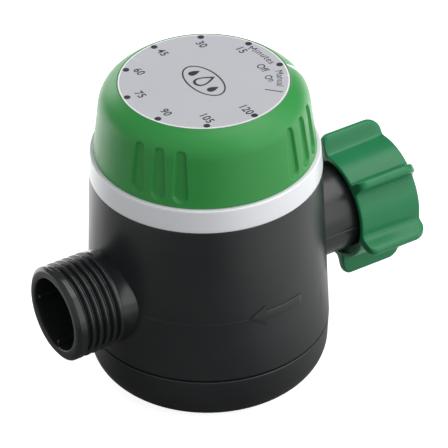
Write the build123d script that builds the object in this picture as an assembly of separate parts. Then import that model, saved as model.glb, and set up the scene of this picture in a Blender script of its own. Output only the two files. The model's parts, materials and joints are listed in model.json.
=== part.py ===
"""Mechanical hose-end watering timer: a clockwork dial over a spring-closed water valve.

Units are millimetres. The origin is the centre of the foot, +Z is up along the dial's
axis, +X runs along the water way towards the inlet, and the arrow side faces -Y.
"""
from math import acos, atan2, cos, degrees, hypot, pi, radians, sin, sqrt
import os

from build123d import *

# ---- driving dimensions ------------------------------------------------------------
FLOW_Z = 33.5                # height of the outlet's axis
INLET_Z = 34.8               # height of the inlet's axis, a little above the outlet's
ARROW_Z = 34.4

BODY_FOOT_Z = 15.6           # seam between the body and its base cap
BODY_TOP_Z = 63.5
BODY_FOOT_R = 33.4
BODY_TOP_R = 31.7
BODY_WALL = 2.3
DECK_Z = 50.0                # top of the floor that parts wet from dry
DECK_T = 2.4

CAP_FLAT_R = 23.7
CAP_FILLET = 9.3
CAP_WALL = 2.4
SEAM_GAP = 0.5

RING_TOP_Z = 70.2
RING_FOOT_R = 31.8
RING_TOP_R = 31.35

DIAL_GAP = 0.3               # air under the turning dial
DIAL_FOOT_R = 30.3
DIAL_WAIST_R = 28.71         # where the cone meets the shoulder
DIAL_WAIST_Z = 84.05
DIAL_TOP_R = 23.24
DIAL_TOP_Z = 91.3
DIAL_WALL = 2.0
GROOVE_ANGLES = (33, 123, 213, 303)
GROOVE_STEP = 12.2
GROOVE_LOW_Z, GROOVE_HIGH_Z = 71.9, 86.4
GROOVE_LOW_R, GROOVE_HIGH_R = 1.75, 1.15   # half width of a groove at its two ends
GROOVE_DEPTH = 0.85
WEB_TOP_Z = 86.6             # plate inside the dial, under the scale disc
WEB_FOOT_Z = 84.6

LABEL_R = 22.9
LABEL_T = 1.6
LABEL_HUB_R = 4.0

THREAD_R = 13.45             # 3/4 inch garden hose thread, crest of the male thread
THREAD_PITCH = 2.209         # 11.5 threads to the inch
OUTLET_END_X = -49.0
OUTLET_BORE_R = 10.35
THREAD_ROOT_R = 12.25
THREAD_END_X = -35.0
COLLAR_R = 13.1
SPIGOT_R = 12.3
SPIGOT_END_X = 48.3
FLANGE_R = 13.1              # ring that holds the swivel nut on the spigot
FLANGE_X0, FLANGE_X1 = 46.2, 47.6
RIB_T = 0.9                  # four ribs inside the outlet's mouth
RIB_DEPTH = 1.3
RIB_X0, RIB_X1 = -47.5, -12.0
INLET_BORE_R = 8.5
BORE_STOP_X = 10.0           # each bore ends here, and a slot leads on to the valve

COUPLING_X0 = 41.0
COUPLING_X1 = 59.9
COUPLING_R0 = 15.4           # between the lugs, at the end near the body
COUPLING_R1 = 15.9           # between the lugs, at the hose end
NUT_ROOT_R = 13.7            # female thread in the coupling
NUT_CREST_R = 12.75
NUT_THREAD_X = 51.2          # the washer's room ends and the thread starts
NUT_SKIRT_R = 14.0
NUT_SKIRT_X = 43.6           # the skirt ends and the lip behind the flange starts
NUT_LIP_X = 46.5
NUT_ROOM_R = 13.5
WASHER_R = 12.6
WASHER_T = 2.6
LUG_TIP_R = 20.9
LUG_COUNT = 6
LUG_FIRST = -14              # degrees above the front, for the lowest front lug

RUN = 0.05                   # radial clearance of a running fit

STEM_Y = 8.0                 # the valve stands behind the dial's axis
STEM_R = 1.8
SEAT_Z = 32.0                # underside of the valve seat
VALVE_TRAVEL = 3.0
CHAMBER_R = 8.0
CHAMBER_WALL = 2.5
CHAMBER_FOOT_Z = 17.0
SEAT_BORE_R = 4.6
UPPER_CHAMBER_Z = 35.0       # the outlet's side of the seat
GLAND_R = 4.5
GLAND_Z = 46.0

SLEEVE_R = 3.4
SLEEVE_FOOT_Z, SLEEVE_TOP_Z = 53.0, 83.6
POST_R = 2.0
PLATE_R = 25.5
BOTTOM_PLATE_Z = 56.0
TOP_PLATE_Z = 72.5
PLATE_T = 1.0
PILLAR_ANGLES = (52, 178, 295)
FIXING_ANGLES = (15, 140, 250)
PILLAR_R_AT = 23.5

MODULE = 0.3
PRESSURE_ANGLE = 20
PINION_TEETH = 14
MAIN_TEETH = 84
SECOND_TEETH = 70
THIRD_TEETH = 70
ESCAPE_TEETH = 30
ESCAPE_R = 6.5
ARBOR_R = 0.9
PIVOT_R = 0.5


# ---- small shape helpers -----------------------------------------------------------
def rod(radius, z0, z1, x=0.0, y=0.0):
    """An upright cylinder from z0 to z1."""
    return Pos(x, y, (z0 + z1) / 2) * Cylinder(radius, z1 - z0)


def tube(outer, inner, z0, z1, x=0.0, y=0.0):
    """An upright tube from z0 to z1."""
    return rod(outer, z0, z1, x, y) - rod(inner, z0 - 1, z1 + 1, x, y)


def x_rod(radius, x0, x1, z=FLOW_Z):
    """A cylinder along the water way from x0 to x1."""
    return Pos((x0 + x1) / 2, 0, z) * Rot(0, 90, 0) * Cylinder(radius, x1 - x0)


def block(x0, x1, y0, y1, z0, z1):
    """A box between two corners."""
    return Pos((x0 + x1) / 2, (y0 + y1) / 2, (z0 + z1) / 2) * Box(x1 - x0, y1 - y0, z1 - z0)


def turned(points):
    """A solid of revolution about Z from (radius, z) points."""
    outline = Polyline(*[(r, 0, z) for r, z in points], close=True)
    return revolve(make_face(outline), Axis.Z, 360)


def x_turned(points, z=FLOW_Z):
    """A solid of revolution about the water way from (x, radius) points."""
    outline = Polyline(*[(x, 0, z + r) for x, r in points], close=True)
    return revolve(make_face(outline), Axis((0, 0, z), (1, 0, 0)), 360)


def on_circle(radius, angle):
    """A point on a circle round the dial's axis."""
    return radius * cos(radians(angle)), radius * sin(radians(angle))


def single(shape):
    """The largest solid of a result that may carry slivers."""
    return max(shape.solids(), key=lambda s: s.volume)


# ---- places of the clockwork's arbors ----------------------------------------------
def pitch_r(teeth):
    """Pitch radius of a gear."""
    return MODULE * teeth / 2


def next_arbor(previous, reach, radius):
    """The point at a radius from the axis and a reach from the previous arbor, counter-clockwise."""
    base = hypot(*previous)
    swing = degrees(acos((base**2 + radius**2 - reach**2) / (2 * base * radius)))
    return on_circle(radius, degrees(atan2(previous[1], previous[0])) + swing)


CENTRE_1 = pitch_r(MAIN_TEETH) + pitch_r(PINION_TEETH)
CENTRE_2 = pitch_r(SECOND_TEETH) + pitch_r(PINION_TEETH)
CENTRE_3 = pitch_r(THIRD_TEETH) + pitch_r(PINION_TEETH)
SECOND_AT = on_circle(CENTRE_1, 90)
THIRD_AT = next_arbor(SECOND_AT, CENTRE_2, 14.6)
ESCAPE_AT = next_arbor(THIRD_AT, CENTRE_3, 14.4)
BALANCE_AT = next_arbor(ESCAPE_AT, 9.0, 14.4)


# ---- gears -------------------------------------------------------------------------
def involute_flank(base_r, root_r, tip_r, steps=3):
    """(radius, angle) points of one flank, angle in radians from where the curve starts."""
    flank = []
    start = max(base_r, root_r)
    for i in range(steps + 1):
        r = start + (tip_r - start) * i / steps
        roll = sqrt(max((r / base_r) ** 2 - 1, 0))
        flank.append((r, roll - atan2(roll, 1)))
    if root_r < base_r:
        flank.insert(0, (root_r, 0.0))
    return flank


def gear_blank(teeth, z0, z1, first_gap):
    """A spur gear with involute teeth and one tooth gap centred on the angle first_gap."""
    pr = pitch_r(teeth)
    base_r = pr * cos(radians(PRESSURE_ANGLE))
    tip_r = pr + 0.8 * MODULE
    root_r = pr - 1.15 * MODULE
    tooth = 0.40 * 2 * pi / teeth
    at_pitch = sqrt((pr / base_r) ** 2 - 1) - radians(PRESSURE_ANGLE)
    flank = involute_flank(base_r, root_r, tip_r)
    points = []
    for n in range(teeth):
        middle = radians(first_gap) + (n + 0.5) * 2 * pi / teeth
        for r, turn in flank:
            a = middle - tooth / 2 - at_pitch + turn
            points.append((r * cos(a), r * sin(a)))
        for r, turn in reversed(flank):
            a = middle + tooth / 2 + at_pitch - turn
            points.append((r * cos(a), r * sin(a)))
    face = make_face(Polyline(*points, close=True))
    return Pos(0, 0, z0) * extrude(face, z1 - z0)


def wheel(teeth, z0, z1, at, bore_r, first_gap, spokes=4):
    """A thin train wheel with crossed-out windows and a bore."""
    rim_r = pitch_r(teeth) - 1.6
    hub_r = bore_r + 1.3
    body = gear_blank(teeth, z0, z1, first_gap)
    window = tube(rim_r, hub_r, z0 - 1, z1 + 1)
    for n in range(spokes):
        arm = Rot(0, 0, n * 360 / spokes) * block(0, rim_r + 1, -0.9, 0.9, z0 - 2, z1 + 2)
        window -= arm
    body = body - window - rod(bore_r, z0 - 1, z1 + 1)
    return Pos(*at, 0) * single(body)


def pinion(z0, z1, at, first_gap):
    """A pinion cut on its own arbor, with a pivot at each end in the plates."""
    arbor = rod(ARBOR_R, BOTTOM_PLATE_Z + PLATE_T + 0.15, TOP_PLATE_Z - 0.15)
    pivots = rod(PIVOT_R, BOTTOM_PLATE_Z + 0.1, TOP_PLATE_Z + PLATE_T - 0.1)
    body = gear_blank(PINION_TEETH, z0, z1, first_gap) + arbor + pivots
    return Pos(*at, 0) * single(body)


def direction(a, b):
    """The bearing of point b from point a in degrees."""
    return degrees(atan2(b[1] - a[1], b[0] - a[0]))


# ---- hose threads ------------------------------------------------------------------
def thread_groove(crest_r, root_r, x0, turns, z=FLOW_Z):
    """A helical cutter along the water way that leaves the thread's crests standing."""
    outward = 1 if crest_r > root_r else -1
    wide, narrow, clear = 0.39 * THREAD_PITCH, 0.13 * THREAD_PITCH, 0.3
    path = Helix(THREAD_PITCH, THREAD_PITCH * turns, crest_r)
    section = Plane(origin=(crest_r, 0, 0), x_dir=(1, 0, 0), z_dir=(0, 1, 0))
    profile = Polyline(
        (outward * clear, -wide - 0.1), (root_r - crest_r, -narrow),
        (root_r - crest_r, narrow), (outward * clear, wide + 0.1), close=True)
    cutter = sweep(section * make_face(profile), path=path, is_frenet=True)
    return Pos(x0, 0, z) * Rot(0, 90, 0) * cutter


# ---- casing ------------------------------------------------------------------------
def valve_body():
    """Black casing: tapered shell, deck, water way, valve tower, outlet and inlet spigots."""
    slope = (BODY_TOP_R - BODY_FOOT_R) / (BODY_TOP_Z - BODY_FOOT_Z)
    shell = turned([
        (BODY_FOOT_R - BODY_WALL, BODY_FOOT_Z), (BODY_FOOT_R, BODY_FOOT_Z),
        (BODY_TOP_R, BODY_TOP_Z), (BODY_TOP_R - BODY_WALL, BODY_TOP_Z)])
    deck_r = BODY_FOOT_R + slope * (DECK_Z - BODY_FOOT_Z) - BODY_WALL / 2
    tower_r = CHAMBER_R + CHAMBER_WALL
    body = outlet_thread() + x_rod(COLLAR_R, THREAD_END_X, 0)
    body = body + shell + rod(deck_r, DECK_Z - DECK_T, DECK_Z)
    body += x_rod(SPIGOT_R, 0, SPIGOT_END_X, INLET_Z)
    body += x_turned([
        (FLANGE_X0, 0), (FLANGE_X0, FLANGE_R), (FLANGE_X1, FLANGE_R),
        (SPIGOT_END_X, SPIGOT_R + 0.1), (SPIGOT_END_X, 0)], INLET_Z)
    body += rod(tower_r, CHAMBER_FOOT_Z, DECK_Z - 1, 0, STEM_Y)
    body += rod(POST_R + 2.2, GLAND_Z, DECK_Z + 1.2)

    body -= x_rod(OUTLET_BORE_R, OUTLET_END_X - 1, -BORE_STOP_X)
    body -= x_rod(INLET_BORE_R, BORE_STOP_X, SPIGOT_END_X + 1, INLET_Z)
    body -= rod(CHAMBER_R, CHAMBER_FOOT_Z - 1, SEAT_Z, 0, STEM_Y)
    body -= rod(CHAMBER_R, UPPER_CHAMBER_Z, DECK_Z - 6, 0, STEM_Y)
    body -= rod(SEAT_BORE_R, SEAT_Z - 1, UPPER_CHAMBER_Z + 1, 0, STEM_Y)
    body -= block(2, BORE_STOP_X + 1, 2, 7, SEAT_Z - 5, SEAT_Z - 0.5)
    body -= block(-BORE_STOP_X - 1, -2, 2, 7, SEAT_Z + 4, SEAT_Z + 9)
    body -= rod(STEM_R + RUN, DECK_Z - 7, DECK_Z + 1, 0, STEM_Y)
    body -= rod(GLAND_R, GLAND_Z, DECK_Z + 1, 0, STEM_Y)
    body -= rod(POST_R, DECK_Z - 3, DECK_Z + 2)

    for n in range(4):
        rib = block(RIB_X0, RIB_X1, -RIB_T / 2, RIB_T / 2, OUTLET_BORE_R - RIB_DEPTH, OUTLET_BORE_R + 0.5)
        body += Pos(0, 0, FLOW_Z) * Rot(90 * n, 0, 0) * rib
    for angle in FIXING_ANGLES:
        x, y = on_circle(PILLAR_R_AT, angle)
        body += rod(2.8, DECK_Z - 1, BOTTOM_PLATE_Z, x, y)
        body -= rod(0.9, DECK_Z + 0.4, BOTTOM_PLATE_Z + 1, x, y)

    return body + flow_arrow()


def outlet_thread():
    """Male hose thread on the end of the outlet, with a chamfered mouth."""
    neck = x_turned([
        (OUTLET_END_X, OUTLET_BORE_R), (OUTLET_END_X, THREAD_R - 1.3),
        (OUTLET_END_X + 0.9, THREAD_R), (THREAD_END_X, THREAD_R), (THREAD_END_X, OUTLET_BORE_R)])
    first, last = OUTLET_END_X + 2.0, THREAD_END_X - 1.0
    return neck - thread_groove(THREAD_R, THREAD_ROOT_R, first, (last - first) / THREAD_PITCH)


def flow_arrow():
    """Raised arrow on the front of the body, pointing with the water towards the outlet."""
    tip, barb, tail = -6.9, -2.0, 10.5
    head, shaft = 3.1, 1.35
    outline = make_face(Polyline(
        (tip, ARROW_Z), (barb, ARROW_Z + head), (barb, ARROW_Z + shaft), (tail, ARROW_Z + shaft),
        (tail, ARROW_Z - shaft), (barb, ARROW_Z - shaft), (barb, ARROW_Z - head), close=True))
    slab = extrude(Plane.XZ * outline, 40)
    skin = rod(33.0, 28, 38) - rod(31.5, 27, 39)
    return slab & skin


def base_cap():
    """Rounded foot, snapped into the body by a lip inside the seam."""
    bend = CAP_FILLET
    outside = [(0, 0), (CAP_FLAT_R, 0)]
    for step in range(1, 9):
        a = radians(step * 90 / 8)
        outside.append((CAP_FLAT_R + bend * sin(a), bend * (1 - cos(a))))
    top = BODY_FOOT_Z - SEAM_GAP
    lip_r = BODY_FOOT_R - BODY_WALL
    outside += [(BODY_FOOT_R - 0.05, top), (lip_r, top), (lip_r - 0.2, top + 4.5)]
    inside = [(lip_r - 1.8, top + 4.5), (lip_r - 1.8, CAP_FILLET)]
    inside += [(CAP_FLAT_R, CAP_WALL), (0, CAP_WALL)]
    cap = turned(outside + inside)
    for angle in range(0, 360, 60):
        cap += Rot(0, 0, angle) * block(8, 26, -0.8, 0.8, CAP_WALL - 0.5, 6)
    return cap


def trim_ring():
    """Silver collar plugged into the top of the body."""
    plug_r = BODY_TOP_R - BODY_WALL
    return turned([
        (plug_r, BODY_TOP_Z - 3), (plug_r, BODY_TOP_Z), (RING_FOOT_R, BODY_TOP_Z),
        (RING_TOP_R + 0.03, RING_TOP_Z - 0.35), (RING_TOP_R - 0.25, RING_TOP_Z),
        (28.6, RING_TOP_Z), (27.6, RING_TOP_Z - 1.5), (27.6, BODY_TOP_Z - 3)])


# ---- dial --------------------------------------------------------------------------
def grip_groove(angle):
    """One tapered, round-ended groove, cut shallow into the dial's side."""
    outline = make_hull([
        *(Pos(0, GROOVE_LOW_Z + GROOVE_LOW_R) * Circle(GROOVE_LOW_R)).edges(),
        *(Pos(0, GROOVE_HIGH_Z - GROOVE_HIGH_R) * Circle(GROOVE_HIGH_R)).edges()])
    prism = Pos(0, 0, -GROOVE_LOW_Z) * extrude(Plane.XZ * outline, 12)
    lean = degrees(atan2(DIAL_FOOT_R - DIAL_WAIST_R, DIAL_WAIST_Z - BODY_TOP_Z - 7))
    place = Rot(0, 0, angle + 90) * Pos(0, GROOVE_DEPTH - DIAL_FOOT_R, GROOVE_LOW_Z)
    return place * Rot(-lean, 0, 0) * prism


def dial_outline(inset=0.0):
    """(radius, z) points up the outside of the dial, or the same curve set inwards."""
    shoulder = [(28.51, 85.21), (28.17, 86.27), (27.69, 87.24), (27.05, 88.14),
                (26.26, 89.01), (25.28, 89.86), (24.12, 90.71)]
    points = [(DIAL_FOOT_R - inset, RING_TOP_Z + DIAL_GAP), (DIAL_WAIST_R - inset, DIAL_WAIST_Z)]
    points += [(r - inset, z - inset * 0.6) for r, z in shoulder]
    return points


def timer_dial():
    """Green dial: grooved cap, web, and a hub that grips the clockwork's sleeve."""
    outside = dial_outline() + [(DIAL_TOP_R, DIAL_TOP_Z)]
    inside = dial_outline(DIAL_WALL)
    cup = [(DIAL_TOP_R, 88.2), (21.5, 88.2), (21.5, WEB_TOP_Z), (0, WEB_TOP_Z), (0, WEB_FOOT_Z)]
    cup += [(25.6, WEB_FOOT_Z), inside[1], inside[0]]
    dial = turned(outside + cup)
    dial += rod(SLEEVE_R + 2.8, TOP_PLATE_Z + 2.5, WEB_FOOT_Z + 0.4)
    dial -= rod(SLEEVE_R, TOP_PLATE_Z, SLEEVE_TOP_Z)
    dial -= rod(POST_R + 0.35, TOP_PLATE_Z, DIAL_TOP_Z)
    for group in GROOVE_ANGLES:
        for n in (-1, 0, 1):
            dial -= grip_groove(group + n * GROOVE_STEP)
    return single(dial)


def dial_label():
    """Silver scale disc, held still on the centre post inside the turning dial."""
    disc = rod(LABEL_R, DIAL_TOP_Z - LABEL_T, DIAL_TOP_Z - 0.1)
    disc = chamfer(disc.edges().group_by(Axis.Z)[-1], 0.3)
    hub = rod(LABEL_HUB_R, WEB_TOP_Z + 0.8, DIAL_TOP_Z - LABEL_T)
    return disc + hub - rod(POST_R, 80, DIAL_TOP_Z - LABEL_T)


def centre_post():
    """Steel post from the deck to the scale disc, through the sleeve."""
    return rod(POST_R, DECK_Z - 3, DIAL_TOP_Z - LABEL_T)


# ---- inlet -------------------------------------------------------------------------
def inlet_coupling():
    """Green swivel nut with six narrow lugs and the female hose thread."""
    x0, x1 = COUPLING_X0, COUPLING_X1
    nut = x_turned([(x0, 0), (x0, COUPLING_R0), (x1, COUPLING_R1), (x1, 0)], INLET_Z)
    for n in range(LUG_COUNT):
        nut += lug(LUG_FIRST + n * 360 / LUG_COUNT)
    nut -= x_rod(NUT_SKIRT_R, x0 - 1, NUT_SKIRT_X, INLET_Z)
    nut -= x_rod(SPIGOT_R + RUN, x0, NUT_LIP_X, INLET_Z)
    nut -= x_rod(NUT_ROOM_R, NUT_LIP_X - 0.5, NUT_THREAD_X, INLET_Z)
    nut -= x_rod(NUT_CREST_R, NUT_LIP_X - 0.5, x1 + 1, INLET_Z)
    nut -= x_turned([(x1 - 0.9, 0), (x1 - 0.9, NUT_CREST_R), (x1, NUT_ROOT_R), (x1, 0)], INLET_Z)
    turns = (x1 - NUT_THREAD_X - 2.6) / THREAD_PITCH
    return single(nut - thread_groove(NUT_CREST_R, NUT_ROOT_R, NUT_THREAD_X + 1.2, turns, INLET_Z))


def lug(angle):
    """One finger lug: a flared rib along the nut, rounded at both ends."""
    x0, x1 = COUPLING_X0, COUPLING_X1
    foot, root, tip = 3.2, 1.75, 1.15
    low, high = COUPLING_R0 - 1.0, LUG_TIP_R
    flare, neck = COUPLING_R0 + 0.2, COUPLING_R0 + 1.5
    half = [(foot + 1.0, low), (foot, flare), (root + 0.45, flare + 0.45), (root, neck),
            (tip, high - 0.6), (tip - 0.5, high)]
    section = Polyline(*half, *[(-y, z) for y, z in reversed(half)], close=True)
    bar = Pos(x0, 0, 0) * extrude(Plane.YZ * make_face(section), x1 - x0)
    side = make_face(Polyline(
        (x0, 0), (x0, LUG_TIP_R - 3.0), (x0 + 0.6, LUG_TIP_R - 1.4), (x0 + 1.6, LUG_TIP_R - 0.4),
        (x0 + 3.0, LUG_TIP_R + 0.01), (x1 - 4.5, LUG_TIP_R + 0.01), (x1 - 2.6, LUG_TIP_R - 0.7),
        (x1 - 1.1, LUG_TIP_R - 2.0), (x1, COUPLING_R0 + 1.6), (x1, 0), close=True))
    envelope = Pos(0, 10, 0) * extrude(Plane.XZ * side, 20)
    return Pos(0, 0, INLET_Z) * Rot(90 - angle, 0, 0) * (bar & envelope)


def coupling_washer():
    """Flat rubber washer that the hose end seals on."""
    end = SPIGOT_END_X + WASHER_T
    hole = x_rod(INLET_BORE_R, SPIGOT_END_X - 1, end + 1, INLET_Z)
    return x_rod(WASHER_R, SPIGOT_END_X, end, INLET_Z) - hole


# ---- valve -------------------------------------------------------------------------
def valve_stem():
    """Plunger: stem, seal disc and the boss that centres the closing spring."""
    stem = rod(STEM_R, SEAT_Z - 4, 51.8, 0, STEM_Y)
    stem += rod(6.6, SEAT_Z - 4.4, SEAT_Z - 2.4, 0, STEM_Y)
    stem += rod(2.0, SEAT_Z - 6.4, SEAT_Z - 4, 0, STEM_Y)
    tip = Pos(0, STEM_Y, 51.8) * Sphere(STEM_R)
    return stem + (tip & rod(STEM_R + 1, 51.0, 52.6, 0, STEM_Y))


def valve_seal():
    """Rubber washer on the plunger that closes on the seat."""
    return tube(6.6, STEM_R, SEAT_Z - 2.4, SEAT_Z, 0, STEM_Y)


def coil_spring(radius, wire_r, z0, z1, turns, x, y):
    """A round-wire compression spring between two heights."""
    path = Helix((z1 - z0 - 2 * wire_r) / turns, z1 - z0 - 2 * wire_r, radius)
    section = Plane(origin=path @ 0, z_dir=path % 0)
    wire = sweep(section * Circle(wire_r), path=path, is_frenet=True)
    return Pos(x, y, z0 + wire_r) * wire


def valve_spring():
    """Closing spring under the plunger."""
    return coil_spring(3.4, 0.35, SEAT_Z - 11, SEAT_Z - 4.4, 4, 0, STEM_Y)


def chamber_plug():
    """Screwed plug that closes the valve chamber and carries the spring."""
    plug = rod(CHAMBER_R, SEAT_Z - 15, SEAT_Z - 11, 0, STEM_Y)
    plug += rod(CHAMBER_R + CHAMBER_WALL, SEAT_Z - 17.4, SEAT_Z - 15, 0, STEM_Y)
    plug -= block(-5, 5, STEM_Y - 0.8, STEM_Y + 0.8, SEAT_Z - 18, SEAT_Z - 16.2)
    return plug - tube(CHAMBER_R + 1, CHAMBER_R - 1.2, SEAT_Z - 14.0, SEAT_Z - 12.4, 0, STEM_Y)


def plug_o_ring():
    """Rubber ring in the plug's groove."""
    return tube(CHAMBER_R, CHAMBER_R - 1.2, SEAT_Z - 14.0, SEAT_Z - 12.4, 0, STEM_Y)


def stem_o_ring():
    """Rubber ring that seals the stem where it leaves the water."""
    return tube(GLAND_R, STEM_R + 0.02, GLAND_Z, GLAND_Z + 2, 0, STEM_Y)


def gland_bush():
    """Brass bush that keeps the stem's ring in place and guides the stem."""
    return tube(GLAND_R, STEM_R + RUN, GLAND_Z + 2, DECK_Z + 0.4, 0, STEM_Y)


# ---- clockwork ---------------------------------------------------------------------
def valve_cam():
    """Face cam on the sleeve, with a pocket over the stem when the dial is at Off."""
    disc = rod(12.2, 54.2, 55.4)
    track = tube(10.4, 5.6, 52.95, 54.4)
    pocket = Rot(0, 0, 90) * block(4, 12, -2.6, 2.6, 52.0, 54.2)
    hub = rod(5.2, 53.0, 54.4)
    return disc + (track - pocket) + hub - rod(SLEEVE_R, 50, 60)


def centre_sleeve():
    """Hollow arbor that joins cam, main wheel and dial, and turns on the centre post."""
    return tube(SLEEVE_R, POST_R + RUN, SLEEVE_FOOT_Z, SLEEVE_TOP_Z)


def plate(z0, bush_r):
    """One round movement plate with pivot holes and three lightening windows."""
    body = rod(PLATE_R, z0, z0 + PLATE_T) - rod(bush_r, z0 - 1, z0 + 3)
    for at in (SECOND_AT, THIRD_AT, ESCAPE_AT, BALANCE_AT):
        body -= rod(PIVOT_R + RUN, z0 - 1, z0 + 3, *at)
    return body


def bottom_plate():
    """Brass plate that carries the clockwork on three bosses of the body."""
    body = plate(BOTTOM_PLATE_Z, SLEEVE_R + RUN)
    for angle in FIXING_ANGLES:
        body -= rod(1.0, 50, 60, *on_circle(PILLAR_R_AT, angle))
    return body


def top_plate():
    """Brass plate over the train."""
    body = plate(TOP_PLATE_Z, SLEEVE_R + RUN)
    for angle in PILLAR_ANGLES:
        body -= rod(0.8, 70, 75, *on_circle(PILLAR_R_AT, angle))
    return body


def pillars():
    """Three pillars that hold the plates apart."""
    posts = []
    for angle in PILLAR_ANGLES:
        x, y = on_circle(PILLAR_R_AT, angle)
        post = rod(1.8, BOTTOM_PLATE_Z + PLATE_T, TOP_PLATE_Z, x, y)
        posts.append(post - rod(0.7, TOP_PLATE_Z - 4, TOP_PLATE_Z + 1, x, y))
    return Compound(posts)


def screw(x, y, seat_z, shank_r, length, head_r, head_t):
    """A cheese-head screw standing in the plate below its head."""
    body = rod(shank_r, seat_z - length, seat_z + 0.1, x, y) + rod(head_r, seat_z, seat_z + head_t, x, y)
    return body - block(x - head_r, x + head_r, y - 0.2, y + 0.2, seat_z + head_t / 2, seat_z + head_t + 1)


def plate_screws():
    """Three screws through the top plate into the pillars."""
    seat = TOP_PLATE_Z + PLATE_T
    return Compound([screw(*on_circle(PILLAR_R_AT, a), seat, 0.7, 3.6, 1.5, 0.9) for a in PILLAR_ANGLES])


def fixing_screws():
    """Three screws through the bottom plate into the body."""
    seat = BOTTOM_PLATE_Z + PLATE_T
    return Compound([screw(*on_circle(PILLAR_R_AT, a), seat, 0.9, 5.0, 1.8, 1.1) for a in FIXING_ANGLES])


def spiral(r_in, r_out, turns, width, z0, z1, start=0.0):
    """A flat spiral strip, as a band between two arcs that grow outwards."""
    steps = int(turns * 16)
    inner, outer = [], []
    for i in range(steps + 1):
        a = radians(start) + 2 * pi * turns * i / steps
        r = r_in + (r_out - r_in) * i / steps
        inner.append((r * cos(a), r * sin(a)))
        outer.append(((r + width) * cos(a), (r + width) * sin(a)))
    edge_in = Spline(*inner)
    edge_out = Spline(*outer)
    ends = [Line(inner[0], outer[0]), Line(inner[-1], outer[-1])]
    return Pos(0, 0, z0) * extrude(make_face([edge_in, edge_out, *ends]), z1 - z0)


def mainspring():
    """Flat steel mainspring coiled round the sleeve, with its outer end on a plate post."""
    strip = spiral(SLEEVE_R + 0.2, 11.2, 6, 0.35, 57.4, 61.2)
    return strip + rod(0.8, BOTTOM_PLATE_Z + PLATE_T, 61.4, 11.8, 0)


def hairspring():
    """Fine balance spring with its stud under the top plate."""
    x, y = BALANCE_AT
    strip = Pos(x, y, 0) * spiral(1.25, 4.2, 5, 0.15, 70.9, 71.4)
    return strip + rod(0.4, 70.9, TOP_PLATE_Z, x + 4.5, y)


def main_wheel():
    """Great wheel on the sleeve."""
    return wheel(MAIN_TEETH, 62.0, 63.0, (0, 0), SLEEVE_R, direction((0, 0), SECOND_AT), 5)


def meshed_phase(at, other, teeth):
    """Tooth-gap angle that puts a tooth of this wheel on the line to its partner's gap."""
    return direction(at, other) + 180 / teeth


def second_pinion():
    """Pinion that the great wheel drives."""
    return pinion(61.7, 63.3, SECOND_AT, meshed_phase(SECOND_AT, (0, 0), PINION_TEETH))


def second_wheel():
    """Wheel on the second arbor."""
    return wheel(SECOND_TEETH, 64.0, 64.8, SECOND_AT, ARBOR_R, direction(SECOND_AT, THIRD_AT))


def third_pinion():
    """Pinion that the second wheel drives."""
    return pinion(63.7, 65.1, THIRD_AT, meshed_phase(THIRD_AT, SECOND_AT, PINION_TEETH))


def third_wheel():
    """Wheel on the third arbor."""
    return wheel(THIRD_TEETH, 65.8, 66.6, THIRD_AT, ARBOR_R, direction(THIRD_AT, ESCAPE_AT))


def escape_pinion():
    """Pinion that the third wheel drives."""
    return pinion(65.5, 66.9, ESCAPE_AT, meshed_phase(ESCAPE_AT, THIRD_AT, PINION_TEETH))


def escape_wheel():
    """Escape wheel with pointed, forward-leaning teeth."""
    points = []
    for n in range(ESCAPE_TEETH):
        a = 2 * pi * n / ESCAPE_TEETH
        step = 2 * pi / ESCAPE_TEETH
        points.append(((ESCAPE_R - 1.1) * cos(a), (ESCAPE_R - 1.1) * sin(a)))
        points.append((ESCAPE_R * cos(a + 0.75 * step), ESCAPE_R * sin(a + 0.75 * step)))
    disc = Pos(0, 0, 67.5) * extrude(make_face(Polyline(*points, close=True)), 0.8)
    disc -= tube(4.4, 2.2, 67, 69) - block(-5, 5, -0.6, 0.6, 66, 70) - block(-0.6, 0.6, -5, 5, 66, 70)
    return Pos(*ESCAPE_AT, 0) * single(disc - rod(ARBOR_R, 67, 69))


def balance_wheel():
    """Balance rim with two arms, and the two pins that check the escape wheel."""
    rim = tube(6.0, 4.9, 69.3, 70.3)
    rim += tube(2.1, ARBOR_R, 69.0, 70.3)
    arms = block(-5.2, 5.2, -0.6, 0.6, 69.5, 70.1) - rod(ARBOR_R, 69, 71)
    rim = rim + arms
    for angle in (-35, 35):
        x, y = on_circle(1.6, angle)
        rim += rod(0.35, 67.4, 69.2, x, y)
    return Pos(*BALANCE_AT, 0) * Rot(0, 0, direction(BALANCE_AT, ESCAPE_AT)) * rim


def balance_staff():
    """Pivoted staff of the balance."""
    x, y = BALANCE_AT
    staff = rod(ARBOR_R, 57.2, TOP_PLATE_Z - 0.15, x, y)
    return staff + rod(PIVOT_R, BOTTOM_PLATE_Z + 0.1, TOP_PLATE_Z + PLATE_T - 0.1, x, y)


PARTS = {
    "valve_body": valve_body, "base_cap": base_cap, "trim_ring": trim_ring,
    "timer_dial": timer_dial, "dial_label": dial_label, "centre_post": centre_post,
    "inlet_coupling": inlet_coupling, "coupling_washer": coupling_washer,
    "valve_stem": valve_stem, "valve_seal": valve_seal, "valve_spring": valve_spring,
    "chamber_plug": chamber_plug, "plug_o_ring": plug_o_ring, "stem_o_ring": stem_o_ring,
    "gland_bush": gland_bush, "valve_cam": valve_cam, "centre_sleeve": centre_sleeve,
    "bottom_plate": bottom_plate, "top_plate": top_plate, "pillars": pillars,
    "plate_screws": plate_screws, "fixing_screws": fixing_screws, "mainspring": mainspring,
    "hairspring": hairspring, "main_wheel": main_wheel, "second_pinion": second_pinion,
    "second_wheel": second_wheel, "third_pinion": third_pinion, "third_wheel": third_wheel,
    "escape_pinion": escape_pinion, "escape_wheel": escape_wheel,
    "balance_wheel": balance_wheel, "balance_staff": balance_staff,
}

os.makedirs("parts", exist_ok=True)
for name, make in PARTS.items():
    shape = make()
    export_step(shape, f"parts/{name}.step")
    print(name, round(shape.volume, 1), len(shape.solids()), shape.is_valid)
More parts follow.
